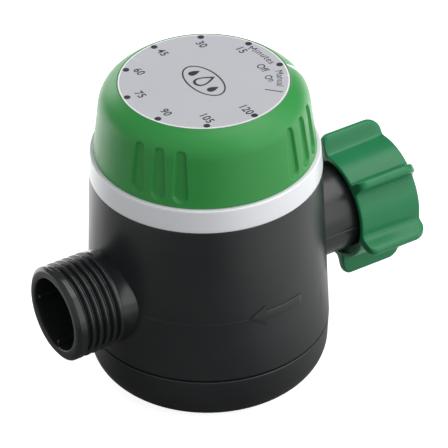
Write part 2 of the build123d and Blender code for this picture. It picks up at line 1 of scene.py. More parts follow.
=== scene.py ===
import json
import math

import bmesh
import bpy
from mathutils import Matrix, Vector


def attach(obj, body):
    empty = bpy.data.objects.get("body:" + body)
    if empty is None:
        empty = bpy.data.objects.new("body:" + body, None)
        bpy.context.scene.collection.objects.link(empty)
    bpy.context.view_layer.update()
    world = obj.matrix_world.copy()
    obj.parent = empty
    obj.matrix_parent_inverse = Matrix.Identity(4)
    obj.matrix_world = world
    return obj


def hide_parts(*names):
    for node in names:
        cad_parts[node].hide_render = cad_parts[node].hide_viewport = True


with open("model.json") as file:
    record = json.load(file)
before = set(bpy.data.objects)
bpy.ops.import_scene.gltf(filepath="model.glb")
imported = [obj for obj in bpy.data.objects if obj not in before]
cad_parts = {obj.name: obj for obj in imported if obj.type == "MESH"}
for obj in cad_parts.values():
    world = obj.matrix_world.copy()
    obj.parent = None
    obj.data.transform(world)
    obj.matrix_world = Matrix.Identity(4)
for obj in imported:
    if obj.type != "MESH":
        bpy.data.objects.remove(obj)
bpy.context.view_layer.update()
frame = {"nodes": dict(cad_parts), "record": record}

MM = 0.001

# ---- viewpoint, floor and light ------------------------------------------------------
# The timer stands on a pale table and is seen through a long lens from above the outlet,
# so that dial, outlet and swivel nut all show. The water way is turned to the viewer.
eye_distance = 1207.6 * MM
eye_height_angle = math.radians(34.183)
look_angle = math.radians(34.928)
look_aside = math.radians(0.270)
lens_roll = math.radians(1.049)
flow_turn = math.radians(31.5)
aim_height = 63.5 * MM


def unturned(v):
    """A vector from the eye's own axes (right, away, up) into the timer's."""
    return Matrix.Rotation(-flow_turn, 3, "Z") @ Vector(v)


eye = unturned((0, -eye_distance * math.cos(eye_height_angle), eye_distance * math.sin(eye_height_angle)))
ahead = Vector((math.sin(look_aside) * math.cos(look_angle), math.cos(look_aside) * math.cos(look_angle),
                -math.sin(look_angle)))
level = Vector((math.cos(look_aside), -math.sin(look_aside), 0))
below = ahead.cross(level)
right = unturned(level * math.cos(lens_roll) + below * math.sin(lens_roll))
down = unturned(below * math.cos(lens_roll) - level * math.sin(lens_roll))
ahead = unturned(ahead)

lens = bpy.data.cameras.new("eye")
lens.lens = 357.96
lens.sensor_width = 36.0
lens.clip_start, lens.clip_end = 0.1, 20.0
camera = bpy.data.objects.new("eye", lens)
bpy.context.scene.collection.objects.link(camera)
camera.matrix_world = Matrix.Translation(eye + Vector((0, 0, aim_height))) @ Matrix(
    (right, -down, -ahead)).transposed().to_4x4()
bpy.context.scene.camera = camera
bpy.context.scene.view_settings.view_transform = "Standard"

table_reach = 6.0
table_glow = 0.86                # what the lit-through table sends to the eye
# For all rays but the eye's, the table's darker grey is painted shade, and the ramps below paint a glow on it
# that grows towards the right, behind and left for the timer to reflect.
table_shade = (0.17, 0.17, 0.17, 1)
table_painted_glow = (((1, 0, 0), 0.010, 0.11, 0.80), ((0, 1, 0), -0.03, 0.14, 2.1),   # toward, start, end, strength
             ((-1, 0, 0), 0.07, 0.14, 0.35))


def wire(tree, start, end):
    """Join two sockets."""
    tree.links.new(start, end)


def place_node(tree, kind, **settings):
    """Add a node; settings named in_NAME set the input called NAME."""
    node = tree.nodes.new(kind)
    for key, value in settings.items():
        if key.startswith("in_"):
            node.inputs[key[3:].replace("_", " ")].default_value = value
        else:
            setattr(node, key, value)
    return node


def table_finish():
    """Pale table, lit through from below, so that only the eye sees it bright; all other rays meet a darker
    grey, painted shade, and a painted glow that grows towards the right, behind and left for the timer to
    reflect.
    """
    finish = bpy.data.materials.new("pale_table")
    finish.use_nodes = True
    tree = finish.node_tree
    tree.nodes.clear()
    out = place_node(tree, "ShaderNodeOutputMaterial")
    seen = place_node(tree, "ShaderNodeBsdfDiffuse", in_Color=(0.6, 0.6, 0.6, 1))
    glow = place_node(tree, "ShaderNodeEmission", in_Color=(1, 1, 1, 1), in_Strength=table_glow)
    bright = place_node(tree, "ShaderNodeAddShader")
    dull = place_node(tree, "ShaderNodeBsdfDiffuse", in_Color=table_shade)
    # Painted glow: emission whose strength follows the table's place, so that the timer reflects bright bands
    # in it.
    painted_glow = place_node(tree, "ShaderNodeEmission", in_Color=(1, 1, 1, 1))
    lit = place_node(tree, "ShaderNodeAddShader")
    where = place_node(tree, "ShaderNodeTexCoord")
    strength = None
    for toward, start, end, most in table_painted_glow:
        along = place_node(tree, "ShaderNodeVectorMath", operation="DOT_PRODUCT")
        along.inputs[1].default_value = unturned(toward)
        ramp = place_node(tree, "ShaderNodeMapRange", interpolation_type="SMOOTHSTEP",
                          in_From_Min=start, in_From_Max=end, in_To_Max=most)
        wire(tree, where.outputs["Object"], along.inputs[0])
        wire(tree, along.outputs["Value"], ramp.inputs["Value"])
        if strength is None:
            strength = ramp.outputs["Result"]
            continue
        more = place_node(tree, "ShaderNodeMath", operation="MAXIMUM")
        wire(tree, strength, more.inputs[0])
        wire(tree, ramp.outputs["Result"], more.inputs[1])
        strength = more.outputs[0]
    wire(tree, strength, painted_glow.inputs["Strength"])
    wire(tree, dull.outputs[0], lit.inputs[0])
    wire(tree, painted_glow.outputs[0], lit.inputs[1])
    path = place_node(tree, "ShaderNodeLightPath")
    pick = place_node(tree, "ShaderNodeMixShader")
    wire(tree, seen.outputs[0], bright.inputs[0])
    wire(tree, glow.outputs[0], bright.inputs[1])
    wire(tree, path.outputs["Is Camera Ray"], pick.inputs[0])
    wire(tree, lit.outputs[0], pick.inputs[1])
    wire(tree, bright.outputs[0], pick.inputs[2])
    wire(tree, pick.outputs[0], out.inputs["Surface"])
    return finish


table_mesh = bpy.data.meshes.new("table_top")
table_mesh.from_pydata([(-table_reach, -table_reach, 0), (table_reach, -table_reach, 0),
                        (table_reach, table_reach, 0), (-table_reach, table_reach, 0)], [], [(0, 1, 2, 3)])
table_mesh.materials.append(table_finish())
table = bpy.data.objects.new("table_top", table_mesh)
bpy.context.scene.collection.objects.link(table)

room_light_away, room_light_near = 0.20, 0.62     # how bright the room is behind and before the timer
world = bpy.data.worlds.new("studio")
bpy.context.scene.world = world
world.use_nodes = True
room = world.node_tree
room.nodes.clear()
room_out = place_node(room, "ShaderNodeOutputWorld")
room_seen = place_node(room, "ShaderNodeBackground", in_Color=(1, 1, 1, 1), in_Strength=1.0)
room_dim = place_node(room, "ShaderNodeBackground", in_Color=(1, 1, 1, 1))
room_where = place_node(room, "ShaderNodeTexCoord")
room_toward = place_node(room, "ShaderNodeVectorMath", operation="DOT_PRODUCT")
room_toward.inputs[1].default_value = unturned((0, -1, 0))
room_change = place_node(room, "ShaderNodeMapRange", interpolation_type="SMOOTHSTEP", in_From_Min=-0.5,
                         in_From_Max=0.5, in_To_Min=room_light_away, in_To_Max=room_light_near)
wire(room, room_where.outputs["Generated"], room_toward.inputs[0])
wire(room, room_toward.outputs["Value"], room_change.inputs["Value"])
wire(room, room_change.outputs["Result"], room_dim.inputs["Strength"])
room_path = place_node(room, "ShaderNodeLightPath")
room_pick = place_node(room, "ShaderNodeMixShader")
wire(room, room_path.outputs["Is Camera Ray"], room_pick.inputs[0])
wire(room, room_dim.outputs[0], room_pick.inputs[1])
wire(room, room_seen.outputs[0], room_pick.inputs[2])
wire(room, room_pick.outputs[0], room_out.inputs["Surface"])


def softbox(name, at, size, watts, aim=(0, 0, 0.05)):
    """A soft square light that faces the timer; its place is given from the eye's side."""
    lamp = bpy.data.lights.new(name, "AREA")
    lamp.shape = "RECTANGLE"
    lamp.size, lamp.size_y = size
    lamp.energy = watts
    holder = bpy.data.objects.new(name, lamp)
    bpy.context.scene.collection.objects.link(holder)
    holder.location = unturned(at)
    holder.rotation_mode = "QUATERNION"
    holder.rotation_quaternion = (Vector(aim) - unturned(at)).to_track_quat("-Z", "Y")
    holder.visible_camera = False


softbox("right_box", (1.05, -0.30, 0.55), (1.5, 1.2), 7.5)
softbox("top_box", (0.35, 0.12, 1.1), (0.9, 0.9), 7.5)
softbox("left_box", (-0.6, 0.9, 0.4), (0.5, 0.5), 3)

# ---- casing shell --------------------------------------------------------------------
# Tapered black wall of the valve body, injection moulded in glass-filled polypropylene.
# The mould's two halves part level with the water way and leave a fine line there.
flow_z, inlet_z = 33.5, 34.8      # the inlet's axis stands a little above the outlet's
wall_foot_z, wall_top_z = 15.6, 63.5
wall_foot_r, wall_top_r, wall_t = 33.4, 31.7, 2.3
part_line_h, part_line_half, part_line_bend = 0.035, 0.14, 12
outlet_opening_r, inlet_opening_r, inlet_opening_lift = 11.7, 10.4, 0.4
edge_round = 0.35
black_deep = (0.0085, 0.0095, 0.0105, 1)
black_worn = (0.020, 0.022, 0.023, 1)


def new_group(name, inputs, outputs):
    """An empty shader node group with named sockets."""
    tree = bpy.data.node_groups.new(name, "ShaderNodeTree")
    for socket, default in inputs:
        kind = "NodeSocketColor" if isinstance(default, tuple) else "NodeSocketFloat"
        tree.interface.new_socket(socket, in_out="INPUT", socket_type=kind).default_value = default
    for socket, kind in outputs:
        tree.interface.new_socket(socket, in_out="OUTPUT", socket_type=kind)
    return tree, tree.nodes.new("NodeGroupInput"), tree.nodes.new("NodeGroupOutput")


def make_grain_group():
    """Fine spark-eroded grain and the slow unevenness of a moulded skin."""
    tree, given, out = new_group(
        "moulded_grain", [("Grain Scale", 2600.0), ("Flow Scale", 60.0), ("Pit Share", 0.35)],
        [("Height", "NodeSocketFloat"), ("Flow", "NodeSocketFloat")])
    where = place_node(tree, "ShaderNodeTexCoord")
    grain = place_node(tree, "ShaderNodeTexNoise", in_Detail=3.0, in_Roughness=0.6)
    cells = place_node(tree, "ShaderNodeTexVoronoi", feature="F1")
    flow = place_node(tree, "ShaderNodeTexNoise", in_Detail=4.0, in_Roughness=0.55)
    pits = place_node(tree, "ShaderNodeMix", data_type="FLOAT")
    for node in (grain, cells, flow):
        wire(tree, where.outputs["Object"], node.inputs["Vector"])
    wire(tree, given.outputs["Grain Scale"], grain.inputs["Scale"])
    wire(tree, given.outputs["Grain Scale"], cells.inputs["Scale"])
    wire(tree, given.outputs["Flow Scale"], flow.inputs["Scale"])
    wire(tree, given.outputs["Pit Share"], pits.inputs[0])
    wire(tree, grain.outputs["Fac"], pits.inputs[2])
    wire(tree, cells.outputs["Distance"], pits.inputs[3])
    wire(tree, pits.outputs[0], out.inputs["Height"])
    wire(tree, flow.outputs["Fac"], out.inputs["Flow"])
    return tree


def make_wear_and_highlight_group():
    """Lighter convex edges, found by pointiness and broken up so that they aren't even: partly real wear and
    partly a painted edge highlight.
    """
    tree, given, out = new_group(
        "edge_wear_and_highlight", [("Start", 0.52), ("End", 0.60), ("Break Scale", 400.0)],
        [("Mask", "NodeSocketFloat")])
    where = place_node(tree, "ShaderNodeTexCoord")
    shape = place_node(tree, "ShaderNodeNewGeometry")
    spots = place_node(tree, "ShaderNodeTexNoise", in_Detail=3.0)
    ramp = place_node(tree, "ShaderNodeMapRange", interpolation_type="SMOOTHSTEP")
    both = place_node(tree, "ShaderNodeMath", operation="MULTIPLY")
    wire(tree, where.outputs["Object"], spots.inputs["Vector"])
    wire(tree, given.outputs["Break Scale"], spots.inputs["Scale"])
    wire(tree, shape.outputs["Pointiness"], ramp.inputs["Value"])
    wire(tree, given.outputs["Start"], ramp.inputs["From Min"])
    wire(tree, given.outputs["End"], ramp.inputs["From Max"])
    wire(tree, ramp.outputs["Result"], both.inputs[0])
    wire(tree, spots.outputs["Fac"], both.inputs[1])
    wire(tree, both.outputs[0], out.inputs["Mask"])
    return tree


def make_handling_group():
    """Hair-fine scuffs and fingered patches, as a mask for gloss."""
    tree, given, out = new_group(
        "handling_marks", [("Scuff Scale", 900.0), ("Patch Scale", 45.0)],
        [("Mask", "NodeSocketFloat")])
    where = place_node(tree, "ShaderNodeTexCoord")
    stretch = place_node(tree, "ShaderNodeMapping")
    stretch.inputs["Scale"].default_value = (1.0, 1.0, 0.08)
    stretch.inputs["Rotation"].default_value = (0.5, 0.3, 0.0)
    scuffs = place_node(tree, "ShaderNodeTexNoise", in_Detail=2.0)
    patches = place_node(tree, "ShaderNodeTexNoise", in_Detail=3.0, in_Roughness=0.6)
    sharp = place_node(tree, "ShaderNodeMapRange", in_From_Min=0.62, in_From_Max=0.74)
    broad = place_node(tree, "ShaderNodeMapRange", in_From_Min=0.35, in_From_Max=0.70)
    mix = place_node(tree, "ShaderNodeMath", operation="ADD", use_clamp=True)
    half = place_node(tree, "ShaderNodeMath", operation="MULTIPLY")
    half.inputs[1].default_value = 0.6
    wire(tree, where.outputs["Object"], stretch.inputs["Vector"])
    wire(tree, stretch.outputs["Vector"], scuffs.inputs["Vector"])
    wire(tree, where.outputs["Object"], patches.inputs["Vector"])
    wire(tree, given.outputs["Scuff Scale"], scuffs.inputs["Scale"])
    wire(tree, given.outputs["Patch Scale"], patches.inputs["Scale"])
    wire(tree, scuffs.outputs["Fac"], sharp.inputs["Value"])
    wire(tree, patches.outputs["Fac"], broad.inputs["Value"])
    wire(tree, broad.outputs["Result"], half.inputs[0])
    wire(tree, sharp.outputs["Result"], mix.inputs[0])
    wire(tree, half.outputs[0], mix.inputs[1])
    wire(tree, mix.outputs[0], out.inputs["Mask"])
    return tree


grain_group = make_grain_group()
wear_and_highlight_group = make_wear_and_highlight_group()
handling_group = make_handling_group()


def use_group(tree, group, **values):
    """Place a shared group and set its inputs; underscores stand for spaces."""
    node = tree.nodes.new("ShaderNodeGroup")
    node.node_tree = group
    for key, value in values.items():
        node.inputs[key.replace("_", " ")].default_value = value
    return node


def skin_finish(name, deep, pale, worn_and_highlit, gloss, grain=2600.0, grain_depth=0.006, metallic=0.0,
                coat=0.0, flow_scale=60.0, specular=0.5, edge=0.5):
    """A moulded or painted skin: uneven colour, lighter convex edges that are partly wear and partly painted
    highlight, scuffed gloss and fine grain.
    """
    finish = bpy.data.materials.new(name)
    finish.use_nodes = True
    tree = finish.node_tree
    shader = tree.nodes["Principled BSDF"]
    skin = use_group(tree, grain_group, Grain_Scale=grain, Flow_Scale=flow_scale)
    edge_glint_and_wear = use_group(tree, wear_and_highlight_group)
    marks = use_group(tree, handling_group)
    tint = place_node(tree, "ShaderNodeMix", data_type="RGBA")
    tint.inputs[6].default_value, tint.inputs[7].default_value = deep, pale
    share = place_node(tree, "ShaderNodeMath", operation="MULTIPLY")
    share.inputs[1].default_value = edge
    # Convex edges take the lighter edge colour: partly wear, partly a painted edge highlight.
    edge_tinted = place_node(tree, "ShaderNodeMix", data_type="RGBA")
    edge_tinted.inputs[7].default_value = worn_and_highlit
    sheen = place_node(tree, "ShaderNodeMapRange", in_To_Min=gloss[0], in_To_Max=gloss[1])
    bump = place_node(tree, "ShaderNodeBump", in_Strength=0.35, in_Distance=grain_depth * MM)
    wire(tree, skin.outputs["Flow"], tint.inputs[0])
    wire(tree, edge_glint_and_wear.outputs["Mask"], share.inputs[0])
    wire(tree, share.outputs[0], edge_tinted.inputs[0])
    wire(tree, tint.outputs[2], edge_tinted.inputs[6])
    wire(tree, edge_tinted.outputs[2], shader.inputs["Base Color"])
    wire(tree, marks.outputs["Mask"], sheen.inputs["Value"])
    wire(tree, sheen.outputs["Result"], shader.inputs["Roughness"])
    wire(tree, skin.outputs["Height"], bump.inputs["Height"])
    wire(tree, bump.outputs["Normal"], shader.inputs["Normal"])
    shader.inputs["Metallic"].default_value = metallic
    shader.inputs["Coat Weight"].default_value = coat
    shader.inputs["Coat Roughness"].default_value = 0.25
    shader.inputs["Specular IOR Level"].default_value = specular
    return finish


# The third colour here and below is the lighter edge colour: partly wear, partly a painted edge highlight.
black_skin = skin_finish("black_skin", black_deep, black_worn, (0.05, 0.052, 0.055, 1), (0.28, 0.40),
                         edge=0.2)
black_neck = skin_finish("black_neck", black_deep, black_worn, (0.07, 0.072, 0.075, 1), (0.17, 0.26),
                         edge=0.15)


def add_piece(name, verts, faces, finish, body, slot_name, sharp=32):
    """A finished piece: mesh in metres at its place, outward faces, material and body."""
    mesh = bpy.data.meshes.new(name)
    work = bmesh.new()
    corners = [work.verts.new(v) for v in verts]
    for face in faces:
        work.faces.new([corners[i] for i in face])
    bmesh.ops.remove_doubles(work, verts=work.verts, dist=1e-7)
    loose = [v for v in work.verts if not v.link_faces]
    bmesh.ops.delete(work, geom=loose, context="VERTS")
    bmesh.ops.recalc_face_normals(work, faces=work.faces)
    work.to_mesh(mesh)
    work.free()
    mesh.shade_smooth()
    mesh.set_sharp_from_angle(angle=math.radians(sharp))
    mesh.materials.append(finish)
    piece = bpy.data.objects.new(name, mesh)
    bpy.context.scene.collection.objects.link(piece)
    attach(piece, body)
    return piece


def spread(start, end, count):
    """Evenly spaced numbers from start to end, both included."""
    return [start + (end - start) * i / (count - 1) for i in range(count)]


def round_edge(inwards):
    """How far a rounded edge stands back at a distance in from its corner."""
    if inwards >= edge_round:
        return 0.0
    return edge_round - math.sqrt(edge_round ** 2 - (edge_round - inwards) ** 2)


def wall_r(z):
    """Outside radius of the casing at a height."""
    r = wall_foot_r + (wall_top_r - wall_foot_r) * (z - wall_foot_z) / (wall_top_z - wall_foot_z)
    r += part_line_h * max(0.0, 1 - abs(z - flow_z) / part_line_half)
    return r - round_edge(z - wall_foot_z) - round_edge(wall_top_z - z)


def line_lift(x):
    """How far the parting line stands above the outlet's axis, as it climbs to the inlet's."""
    return (inlet_z - flow_z) * (x + 45) / 90


def casing_wall():
    """The shell with its two openings for the water way, left inside the necks' walls."""
    heights = [wall_foot_z + s for s in (0, 0.04, 0.12, 0.22, 0.35)]
    heights += spread(wall_foot_z + 0.9, flow_z - 0.6, 22)
    heights += [flow_z + s for s in (-0.14, -0.07, 0, 0.07, 0.14)]
    heights += spread(flow_z + 0.6, wall_top_z - 0.9, 36)
    heights += [wall_top_z - s for s in (0.35, 0.22, 0.12, 0.04, 0)]
    around = 288
    turns = [2 * math.pi * i / around for i in range(around)]
    verts, faces = [], []
    for inner in (False, True):
        for z in heights:
            r = wall_r(z)
            if inner:
                r = wall_foot_r - wall_t + (wall_top_r - wall_foot_r) * (z - wall_foot_z) / (
                    wall_top_z - wall_foot_z)
            for a in turns:
                lift = line_lift(r * math.cos(a)) * max(0.0, 1 - abs(z - flow_z) / part_line_bend)
                verts.append((r * math.cos(a) * MM, r * math.sin(a) * MM, (z + lift) * MM))
    rows = len(heights)

    def open_cell(i, j):
        """True where a neck's wall stands instead of the shell."""
        if i < 0 or i >= rows - 1:
            return True
        a = turns[j % around] + math.pi / around
        z = (heights[i] + heights[i + 1]) / 2 - flow_z
        z -= (inlet_z - flow_z) * inlet_opening_lift if math.cos(a) > 0 else 0.0
        y = wall_r(flow_z) * math.sin(a)
        reach = outlet_opening_r if math.cos(a) < 0 else inlet_opening_r
        return abs(math.cos(a)) > 0.5 and y * y + z * z < reach * reach

    def at(inner, i, j):
        """Number of a point of the outer or the inner skin."""
        return (rows if inner else 0) * around + i * around + j % around

    for i in range(rows - 1):
        for j in range(around):
            if open_cell(i, j):
                continue
            ring = [(i, j), (i, j + 1), (i + 1, j + 1), (i + 1, j)]
            faces.append([at(False, *c) for c in ring])
            faces.append([at(True, *c) for c in reversed(ring)])
            beside = [(i - 1, j), (i, j + 1), (i + 1, j), (i, j - 1)]
            for k, cell in enumerate(beside):
                if open_cell(*cell):
                    a, b = ring[k], ring[(k + 1) % 4]
                    faces.append([at(False, *b), at(False, *a), at(True, *a), at(True, *b)])
    return verts, faces


casing_shell = add_piece("casing_shell", *casing_wall(), black_skin, "housing", "black_plastic", sharp=40)
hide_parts("valve_body")

# ---- outlet neck ---------------------------------------------------------------------
# Male 3/4 inch hose thread moulded in one with the casing: a plain collar, five turns of
# rounded thread, a chamfered lip, and four thin ribs in the bore that stiffen the mouth.
collar_r, thread_crest, thread_root = 13.1, 13.45, 12.2
thread_pitch = 2.209
lip_x, thread_end_x = -49.0, -35.0
first_groove_x, last_groove_x = -47.0, -36.0
outlet_bore_r = 10.35
neck_inner_x = -9.0


def eased(t):
    """A smooth rise from 0 to 1."""
    t = max(0.0, min(1.0, t))
    return t * t * (3 - 2 * t)


def water_ring(x, r, a, z=flow_z):
    """A point round the water way; the angle runs from the back over the top."""
    return (x * MM, r * math.cos(a) * MM, (z + r * math.sin(a)) * MM)


def skin_between(rows, columns, place, ring=True):
    """Faces over a grid of points that closes round its columns, and over its rows as a ring."""
    verts = [place(row, column) for row in rows for column in columns]
    n, m = len(rows), len(columns)
    faces = []
    for i in range(n if ring else n - 1):
        for j in range(m):
            k, l = (i + 1) % n, (j + 1) % m
            faces.append((i * m + j, i * m + l, k * m + l, k * m + j))
    return verts, faces


def neck_angles(count, line=0.16 / 13):
    """Angles round a neck, close together at the mould's parting line front and back."""
    angles = {round(2 * math.pi * i / count, 6) for i in range(count)}
    for middle in (0.0, math.pi):
        angles |= {round((middle + s * line) % (2 * math.pi), 6) for s in (-2, -1, -0.4, 0.4, 1, 2)}
    return sorted(angles)


def thread_r(x, a, crest, root, first, last):
    """Radius of a right-hand thread with rounded crests and a groove that runs out at both ends."""
    turn = (a + math.pi / 2) / (2 * math.pi) % 1.0
    turns = (x - first) / thread_pitch
    near = round(turns - turn)
    along = near + turn
    off = abs(turns - along)
    total = (last - first) / thread_pitch
    fade = eased((along + 0.12) / 0.12) * eased((total - along + 0.12) / 0.12)
    cut = 1 - eased((off - 0.03) / 0.38)
    return crest + (root - crest) * cut * fade


def outlet_rows():
    """(x, radius or None for the thread) from inside the casing, out over the lip, and back."""
    rows = [(neck_inner_x, 0.0), (neck_inner_x, collar_r)]
    rows += [(x, collar_r) for x in spread(-20, thread_end_x + 0.25, 6)]
    rows += [(thread_end_x + 0.12, collar_r + 0.05), (thread_end_x + 0.04, collar_r + 0.2)]
    rows += [(x, None) for x in spread(thread_end_x, lip_x + 0.9, 96)]
    rows += [(lip_x + 0.75, thread_crest - 0.06), (lip_x + 0.15, thread_crest - 0.95),
             (lip_x + 0.04, thread_crest - 1.12), (lip_x, thread_crest - 1.35)]
    rows += [(lip_x, outlet_bore_r + 0.3), (lip_x + 0.08, outlet_bore_r + 0.09), (lip_x + 0.3, outlet_bore_r)]
    rows += [(x, outlet_bore_r - 0.002 * (x - lip_x)) for x in spread(-46, neck_inner_x - 1.5, 8)]
    rows.append((neck_inner_x - 1.5, 0.0))
    return rows


def outlet_point(row, a):
    """A point of the outlet neck."""
    x, r = row
    if r is None:
        r = thread_r(x, a, thread_crest, thread_root, first_groove_x, last_groove_x)
    return water_ring(x, r, a)


outlet_neck = add_piece(
    "outlet_neck", *skin_between(outlet_rows(), neck_angles(168), outlet_point, ring=False),
    black_neck, "housing", "black_plastic", sharp=50)
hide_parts("valve_body")

rib_t, rib_depth, rib_root = 0.9, 1.45, 0.35
rib_x0, rib_x1 = -48.2, -12.0


def make_ring_tree():
    """Copies of a piece round an axis, joined and given their finish."""
    tree = bpy.data.node_groups.new("copies_round_axis", "GeometryNodeTree")
    tree.interface.new_socket("Piece", in_out="INPUT", socket_type="NodeSocketGeometry")
    for name, kind, default in (("Count", "NodeSocketInt", 4), ("First Angle", "NodeSocketFloat", 0.0),
                                ("Step Angle", "NodeSocketFloat", 1.57),
                                ("Axis", "NodeSocketVector", (0, 0, 1)),
                                ("Centre", "NodeSocketVector", (0, 0, 0))):
        tree.interface.new_socket(name, in_out="INPUT", socket_type=kind).default_value = default
    tree.interface.new_socket("Finish", in_out="INPUT", socket_type="NodeSocketMaterial")
    tree.interface.new_socket("Piece", in_out="OUTPUT", socket_type="NodeSocketGeometry")
    given, out = tree.nodes.new("NodeGroupInput"), tree.nodes.new("NodeGroupOutput")
    points = place_node(tree, "GeometryNodePoints")
    index = place_node(tree, "GeometryNodeInputIndex")
    angle = place_node(tree, "ShaderNodeMath", operation="MULTIPLY_ADD")
    turn = place_node(tree, "FunctionNodeAxisAngleToRotation")
    copies = place_node(tree, "GeometryNodeInstanceOnPoints")
    real = place_node(tree, "GeometryNodeRealizeInstances")
    move = place_node(tree, "GeometryNodeTransform")
    dress = place_node(tree, "GeometryNodeSetMaterial")
    wire(tree, given.outputs["Count"], points.inputs["Count"])
    wire(tree, index.outputs[0], angle.inputs[0])
    wire(tree, given.outputs["Step Angle"], angle.inputs[1])
    wire(tree, given.outputs["First Angle"], angle.inputs[2])
    wire(tree, given.outputs["Axis"], turn.inputs["Axis"])
    wire(tree, angle.outputs[0], turn.inputs["Angle"])
    wire(tree, points.outputs[0], copies.inputs["Points"])
    wire(tree, given.outputs["Piece"], copies.inputs["Instance"])
    wire(tree, turn.outputs[0], copies.inputs["Rotation"])
    wire(tree, copies.outputs[0], real.inputs[0])
    wire(tree, real.outputs[0], move.inputs["Geometry"])
    wire(tree, given.outputs["Centre"], move.inputs["Translation"])
    wire(tree, move.outputs[0], dress.inputs["Geometry"])
    wire(tree, given.outputs["Finish"], dress.inputs["Material"])
    wire(tree, dress.outputs[0], out.inputs[0])
    return tree


ring_tree = make_ring_tree()


def copies_round(name, verts, faces, finish, body, slot_name, count, first, step, axis, centre):
    """A ring of like pieces made by the shared tree and left as one plain mesh."""
    seed = bpy.data.meshes.new(name)
    seed.from_pydata(verts, [], faces)
    piece = bpy.data.objects.new(name, seed)
    bpy.context.scene.collection.objects.link(piece)
    ring = piece.modifiers.new("ring", "NODES")
    ring.node_group = ring_tree
    values = {"Count": count, "First Angle": first, "Step Angle": step, "Axis": axis,
              "Centre": centre, "Finish": finish}
    for item in ring_tree.interface.items_tree:
        if item.in_out == "INPUT" and item.name in values:
            ring[item.identifier] = values[item.name]
    solid = bpy.data.meshes.new_from_object(piece.evaluated_get(bpy.context.evaluated_depsgraph_get()))
    piece.modifiers.remove(ring)
    piece.data = solid
    work = bmesh.new()
    work.from_mesh(solid)
    bmesh.ops.recalc_face_normals(work, faces=work.faces)
    work.to_mesh(solid)
    work.free()
    solid.shade_smooth()
    solid.set_sharp_from_angle(angle=math.radians(35))
    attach(piece, body)
    return piece


def bar_faces(count, n):
    """Faces of a closed bar whose skin is a row of like sections with n points each."""
    faces = []
    for i in range(count - 1):
        for j in range(n):
            faces.append((i * n + j, i * n + (j + 1) % n, (i + 1) * n + (j + 1) % n, (i + 1) * n + j))
    return faces + [tuple(range(n)), tuple(range((count - 1) * n, count * n))]


def rib_bar():
    """One rib along the bore: a rounded bar whose front end slopes into the wall."""
    section = [(-rib_t / 2, 0.0), (-rib_t / 2, -rib_depth + 0.3), (-rib_t / 2 + 0.12, -rib_depth + 0.1),
               (-rib_t / 2 + 0.3, -rib_depth), (rib_t / 2 - 0.3, -rib_depth),
               (rib_t / 2 - 0.12, -rib_depth + 0.1), (rib_t / 2, -rib_depth + 0.3), (rib_t / 2, 0.0)]
    verts = []
    stations = [(rib_x0, 0.86), (rib_x0 + 0.08, 0.95), (rib_x0 + 0.25, 1.0), (rib_x0 + 0.9, 1.0),
                (rib_x1, 1.0)]
    for x, grown in stations:
        verts += [(x * MM, y * MM, (outlet_bore_r + rib_root + h * grown - rib_root * (h < 0)) * MM)
                  for y, h in section]
    return verts, bar_faces(len(stations), len(section))


bore_ribs = copies_round("bore_ribs", *rib_bar(), black_neck, "housing", "black_plastic",
                         4, 0.0, math.pi / 2, (1, 0, 0), (0, 0, flow_z * MM))
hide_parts("valve_body")

# ---- inlet neck ----------------------------------------------------------------------
# Plain spigot on the tap's side, in one with the casing, with a ring at its end that the
# swivel nut turns behind. The mould's parting line shows along it.
spigot_r, spigot_end_x, inlet_bore_r = 12.3, 48.3, 8.5
flange_r, flange_x0, flange_x1 = 13.1, 46.2, 47.6
line_half, line_depth = 0.30, 0.16


def inlet_rows():
    """(x, radius, share of the parting line) out along the spigot and back down its bore."""
    rows = [(-neck_inner_x, 0.0, 0), (-neck_inner_x, spigot_r, 0)]
    rows += [(x, spigot_r, 1) for x in spread(28, flange_x0 - 0.3, 10)]
    rows += [(flange_x0 - 0.05, spigot_r + 0.1, 0), (flange_x0, spigot_r + 0.3, 0),
             (flange_x0, flange_r - 0.2, 0), (flange_x0 + 0.2, flange_r, 0),
             (flange_x1 - 0.2, flange_r, 0), (flange_x1, flange_r - 0.15, 0),
             (spigot_end_x - 0.1, spigot_r + 0.15, 0), (spigot_end_x, spigot_r, 0),
             (spigot_end_x, inlet_bore_r + 0.2, 0), (spigot_end_x - 0.2, inlet_bore_r, 0)]
    rows += [(x, inlet_bore_r, 0) for x in spread(40, 10.5, 6)]
    rows.append((10.5, 0.0, 0))
    return rows


def inlet_point(row, a):
    """A point of the inlet neck, with a hairline let in front and back."""
    x, r, line = row
    off = min(abs(math.sin(a)) * spigot_r, line_half) / line_half
    return water_ring(x, r - line * line_depth * (1 - eased(off)), a, inlet_z)


inlet_neck = add_piece(
    "inlet_neck", *skin_between(inlet_rows(), neck_angles(128), inlet_point, ring=False),
    black_skin, "housing", "black_plastic", sharp=40)
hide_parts("valve_body")

# ---- flow arrow ----------------------------------------------------------------------
# Low raised arrow moulded on the front of the casing. It points with the water, from the
# inlet to the outlet.
arrow_tip, arrow_barb, arrow_tail = -6.9, -2.0, 10.5
arrow_head, arrow_shaft, arrow_rise, arrow_z = 3.1, 1.35, 0.42, 34.4


